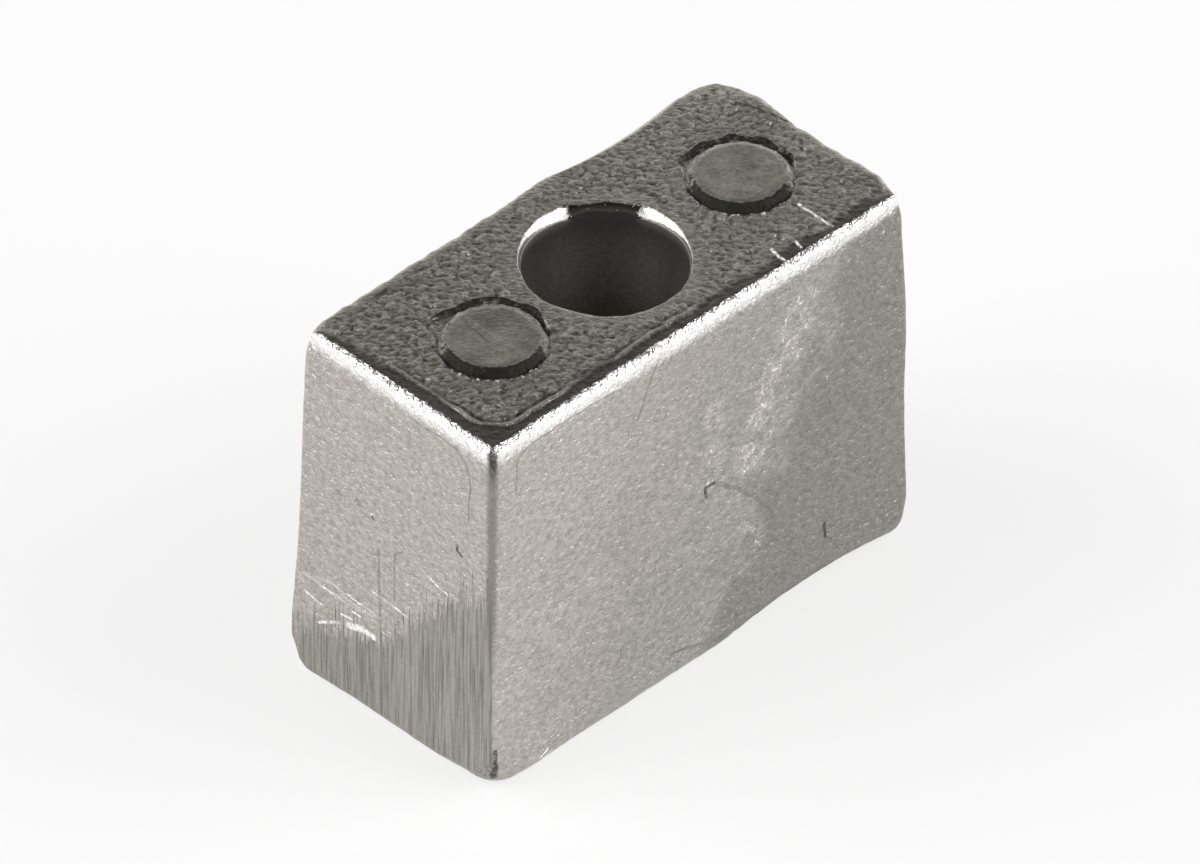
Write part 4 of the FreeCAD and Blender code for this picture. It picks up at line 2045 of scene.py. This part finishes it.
    def relief(self, graph: Graph, masks: Masks) -> bpy.types.NodeSocket:
        """The finest relief, which is in the material alone.

        Args:
            graph: The material's nodes.
            masks: Where each look shows.

        Returns:
            The height's socket, in millimetres.
        """
        side_height = graph.swing(masks.peel, self.peel_height)
        grain = graph.swing(masks.fine, self.grain_height)
        top_height = graph.math("ADD", grain, graph.swing(masks.coarse, self.crinkle_height))
        rim = graph.math("SUBTRACT", 1.0, graph.math("MULTIPLY", graph.paint("rim"), 0.4))
        smoother = graph.math("SUBTRACT", rim, graph.math("MULTIPLY", graph.paint("pad"), 0.75))
        top_height = graph.math("MULTIPLY", top_height, smoother)
        below = graph.ease(graph.paint("from_top"), 0.1, 0.4)
        cast = graph.math("SUBTRACT", 1.0, graph.ease(graph.paint("ground"), 0.0, 2.0))
        cast = graph.math("SUBTRACT", cast, graph.math("MULTIPLY", masks.mouth, 0.85))
        return graph.math("MULTIPLY", graph.mix_value(below, top_height, side_height), cast)

    def material(self) -> bpy.types.Material:
        """Builds the material.

        Returns:
            The material.
        """
        made = bpy.data.materials.new("cast_zinc_finish")
        made.use_nodes = True
        graph = Graph(made.node_tree)
        shader = made.node_tree.nodes["Principled BSDF"].inputs
        masks = self.masks(graph)
        graph.put(shader["Base Color"], self.colour(graph, masks))
        edge = graph.math("MULTIPLY", masks.band, graph.math("SUBTRACT", 1.0, masks.skin))
        graph.put(shader["Roughness"], self.roughness(graph, masks, edge))
        graph.put(shader["Metallic"], self.metal(graph, masks, edge))
        height = graph.math("MULTIPLY", self.relief(graph, masks), MM)
        bump = graph.node("Bump")
        bump.inputs["Distance"].default_value = 1.0
        graph.put(bump.inputs["Height"], height)
        graph.put(shader["Normal"], bump.outputs["Normal"])
        return made


@dataclass
class StudioFloor:
    """The plain white floor, in metres, which keeps a soft shadow."""

    half_side: float = 6.0
    colour: tuple[float, ...] = (0.9, 0.9, 0.9, 1.0)
    roughness: float = 0.9
    gloss: float = 0.1
    glow_share: float = 0.7

    def build(self) -> bpy.types.Object:
        """Builds the floor.

        Returns:
            The floor.
        """
        side = self.half_side
        mesh = bpy.data.meshes.new("studio_floor")
        corners = [(-side, -side, 0), (side, -side, 0), (side, side, 0), (-side, side, 0)]
        mesh.from_pydata(corners, [], [(0, 1, 2, 3)])
        made = add_object("studio_floor", mesh)
        mesh.materials.append(self.material())
        return made

    def material(self) -> bpy.types.Material:
        """Builds the floor's material, which is part white glow where it is seen.

        Returns:
            The material.
        """
        made = bpy.data.materials.new("floor_paper")
        made.use_nodes = True
        tree = made.node_tree
        graph = Graph(tree)
        paper = tree.nodes["Principled BSDF"]
        paper.inputs["Base Color"].default_value = self.colour
        paper.inputs["Roughness"].default_value = self.roughness
        paper.inputs["Specular IOR Level"].default_value = self.gloss
        glow = graph.node("Emission")
        rays = graph.node("LightPath").outputs
        seen = graph.math("MAXIMUM", rays["Is Camera Ray"], rays["Is Glossy Ray"])
        seen = graph.math("MAXIMUM", seen, rays["Is Transmission Ray"])
        mixed = graph.node("MixShader")
        graph.put(mixed.inputs[0], graph.math("MULTIPLY", seen, self.glow_share))
        graph.put(mixed.inputs[1], paper.outputs[0])
        graph.put(mixed.inputs[2], glow.outputs[0])
        graph.put(tree.nodes["Material Output"].inputs["Surface"], mixed.outputs[0])
        return made


@dataclass(frozen=True)
class Softbox:
    """A flat soft lamp that faces the object, in metres and degrees."""

    name: str
    azimuth: float
    elevation: float
    distance: float
    width: float
    height: float
    radiance: float

    def build(self) -> bpy.types.Object:
        """Builds the lamp.

        Returns:
            The lamp.
        """
        data = bpy.data.lights.new(self.name, "AREA")
        data.shape = "RECTANGLE"
        data.size = self.width
        data.size_y = self.height
        data.energy = self.radiance * math.pi * self.width * self.height
        made = add_object(self.name, data)
        back = direction(math.radians(self.azimuth), math.radians(self.elevation))
        made.location = back * self.distance
        made.rotation_mode = "QUATERNION"
        made.rotation_quaternion = back.to_track_quat("Z", "Y")
        made.visible_camera = False
        return made


@dataclass
class Studio:
    """The light round the object."""

    lamps: tuple[Softbox, ...] = (
        Softbox("softbox_right", 40.0, 33.0, 1.5, 1.3, 1.35, 3.4),
        Softbox("softbox_left", -129.0, 33.0, 1.5, 1.3, 1.35, 3.4),
    )
    zenith_level: float = 0.05
    horizon_level: float = 1.25
    fall: float = 1.6

    def build(self) -> None:
        """Builds the lamps and the world."""
        for lamp in self.lamps:
            lamp.build()
        world = bpy.data.worlds.new("studio_world")
        bpy.context.scene.world = world
        world.use_nodes = True
        graph = Graph(world.node_tree)
        background = world.node_tree.nodes["Background"]
        split = graph.node("SeparateXYZ")
        graph.put(split.inputs[0], graph.node("TexCoord").outputs["Generated"])
        height = graph.math("MAXIMUM", split.outputs[2], 0.0)
        share = graph.math("POWER", graph.math("SUBTRACT", 1.0, height), self.fall)
        low, high = ((level, level, level, 1.0) for level in (self.horizon_level, self.zenith_level))
        graph.put(background.inputs["Color"], graph.blend(share, high, low))
        background.inputs["Strength"].default_value = 1.0


@dataclass
class ShotCamera:
    """The camera at the photograph's angle, in millimetres and degrees."""

    azimuth: float = -45.258
    elevation: float = 40.503
    roll: float = 0.741
    distance: float = 1706.57
    target_height: float = 18.958
    lens: float = 600.0
    sensor: float = 36.0
    slide_right: float = -0.291
    slide_up: float = -0.167
    clip_start: float = 100.0
    clip_end: float = 20000.0

    def build(self) -> bpy.types.Object:
        """Builds the camera and makes it the scene's own.

        Returns:
            The camera.
        """
        turn, rise, roll = (math.radians(value) for value in (self.azimuth, self.elevation, self.roll))
        back = direction(turn, rise)
        level = Vector((math.cos(turn), math.sin(turn), 0))
        upright = back.cross(level)
        right = level * math.cos(roll) + upright * math.sin(roll)
        up = upright * math.cos(roll) - level * math.sin(roll)
        place = Vector((0, 0, self.target_height)) + back * self.distance
        place += right * self.slide_right + up * self.slide_up
        data = bpy.data.cameras.new("shot_camera")
        data.lens = self.lens
        data.sensor_width = self.sensor
        data.clip_start = self.clip_start * MM
        data.clip_end = self.clip_end * MM
        made = add_object("shot_camera", data)
        made.matrix_world = Matrix.Translation(place * MM) @ Matrix((right, up, back)).transposed().to_4x4()
        bpy.context.scene.camera = made
        return made


def main() -> None:
    """Builds the scene, piece by piece."""
    logging.basicConfig(level=logging.INFO)
    bpy.context.scene.view_settings.view_transform = "Standard"
    ShotCamera().build()
    log.info("camera placed")
    casting = Casting().build()
    log.info("casting built with %d faces", len(casting.data.polygons))
    StudioFloor().build()
    log.info("floor laid")
    Studio().build()
    log.info("lamps and world set")


if __name__ == "__main__":
    main()
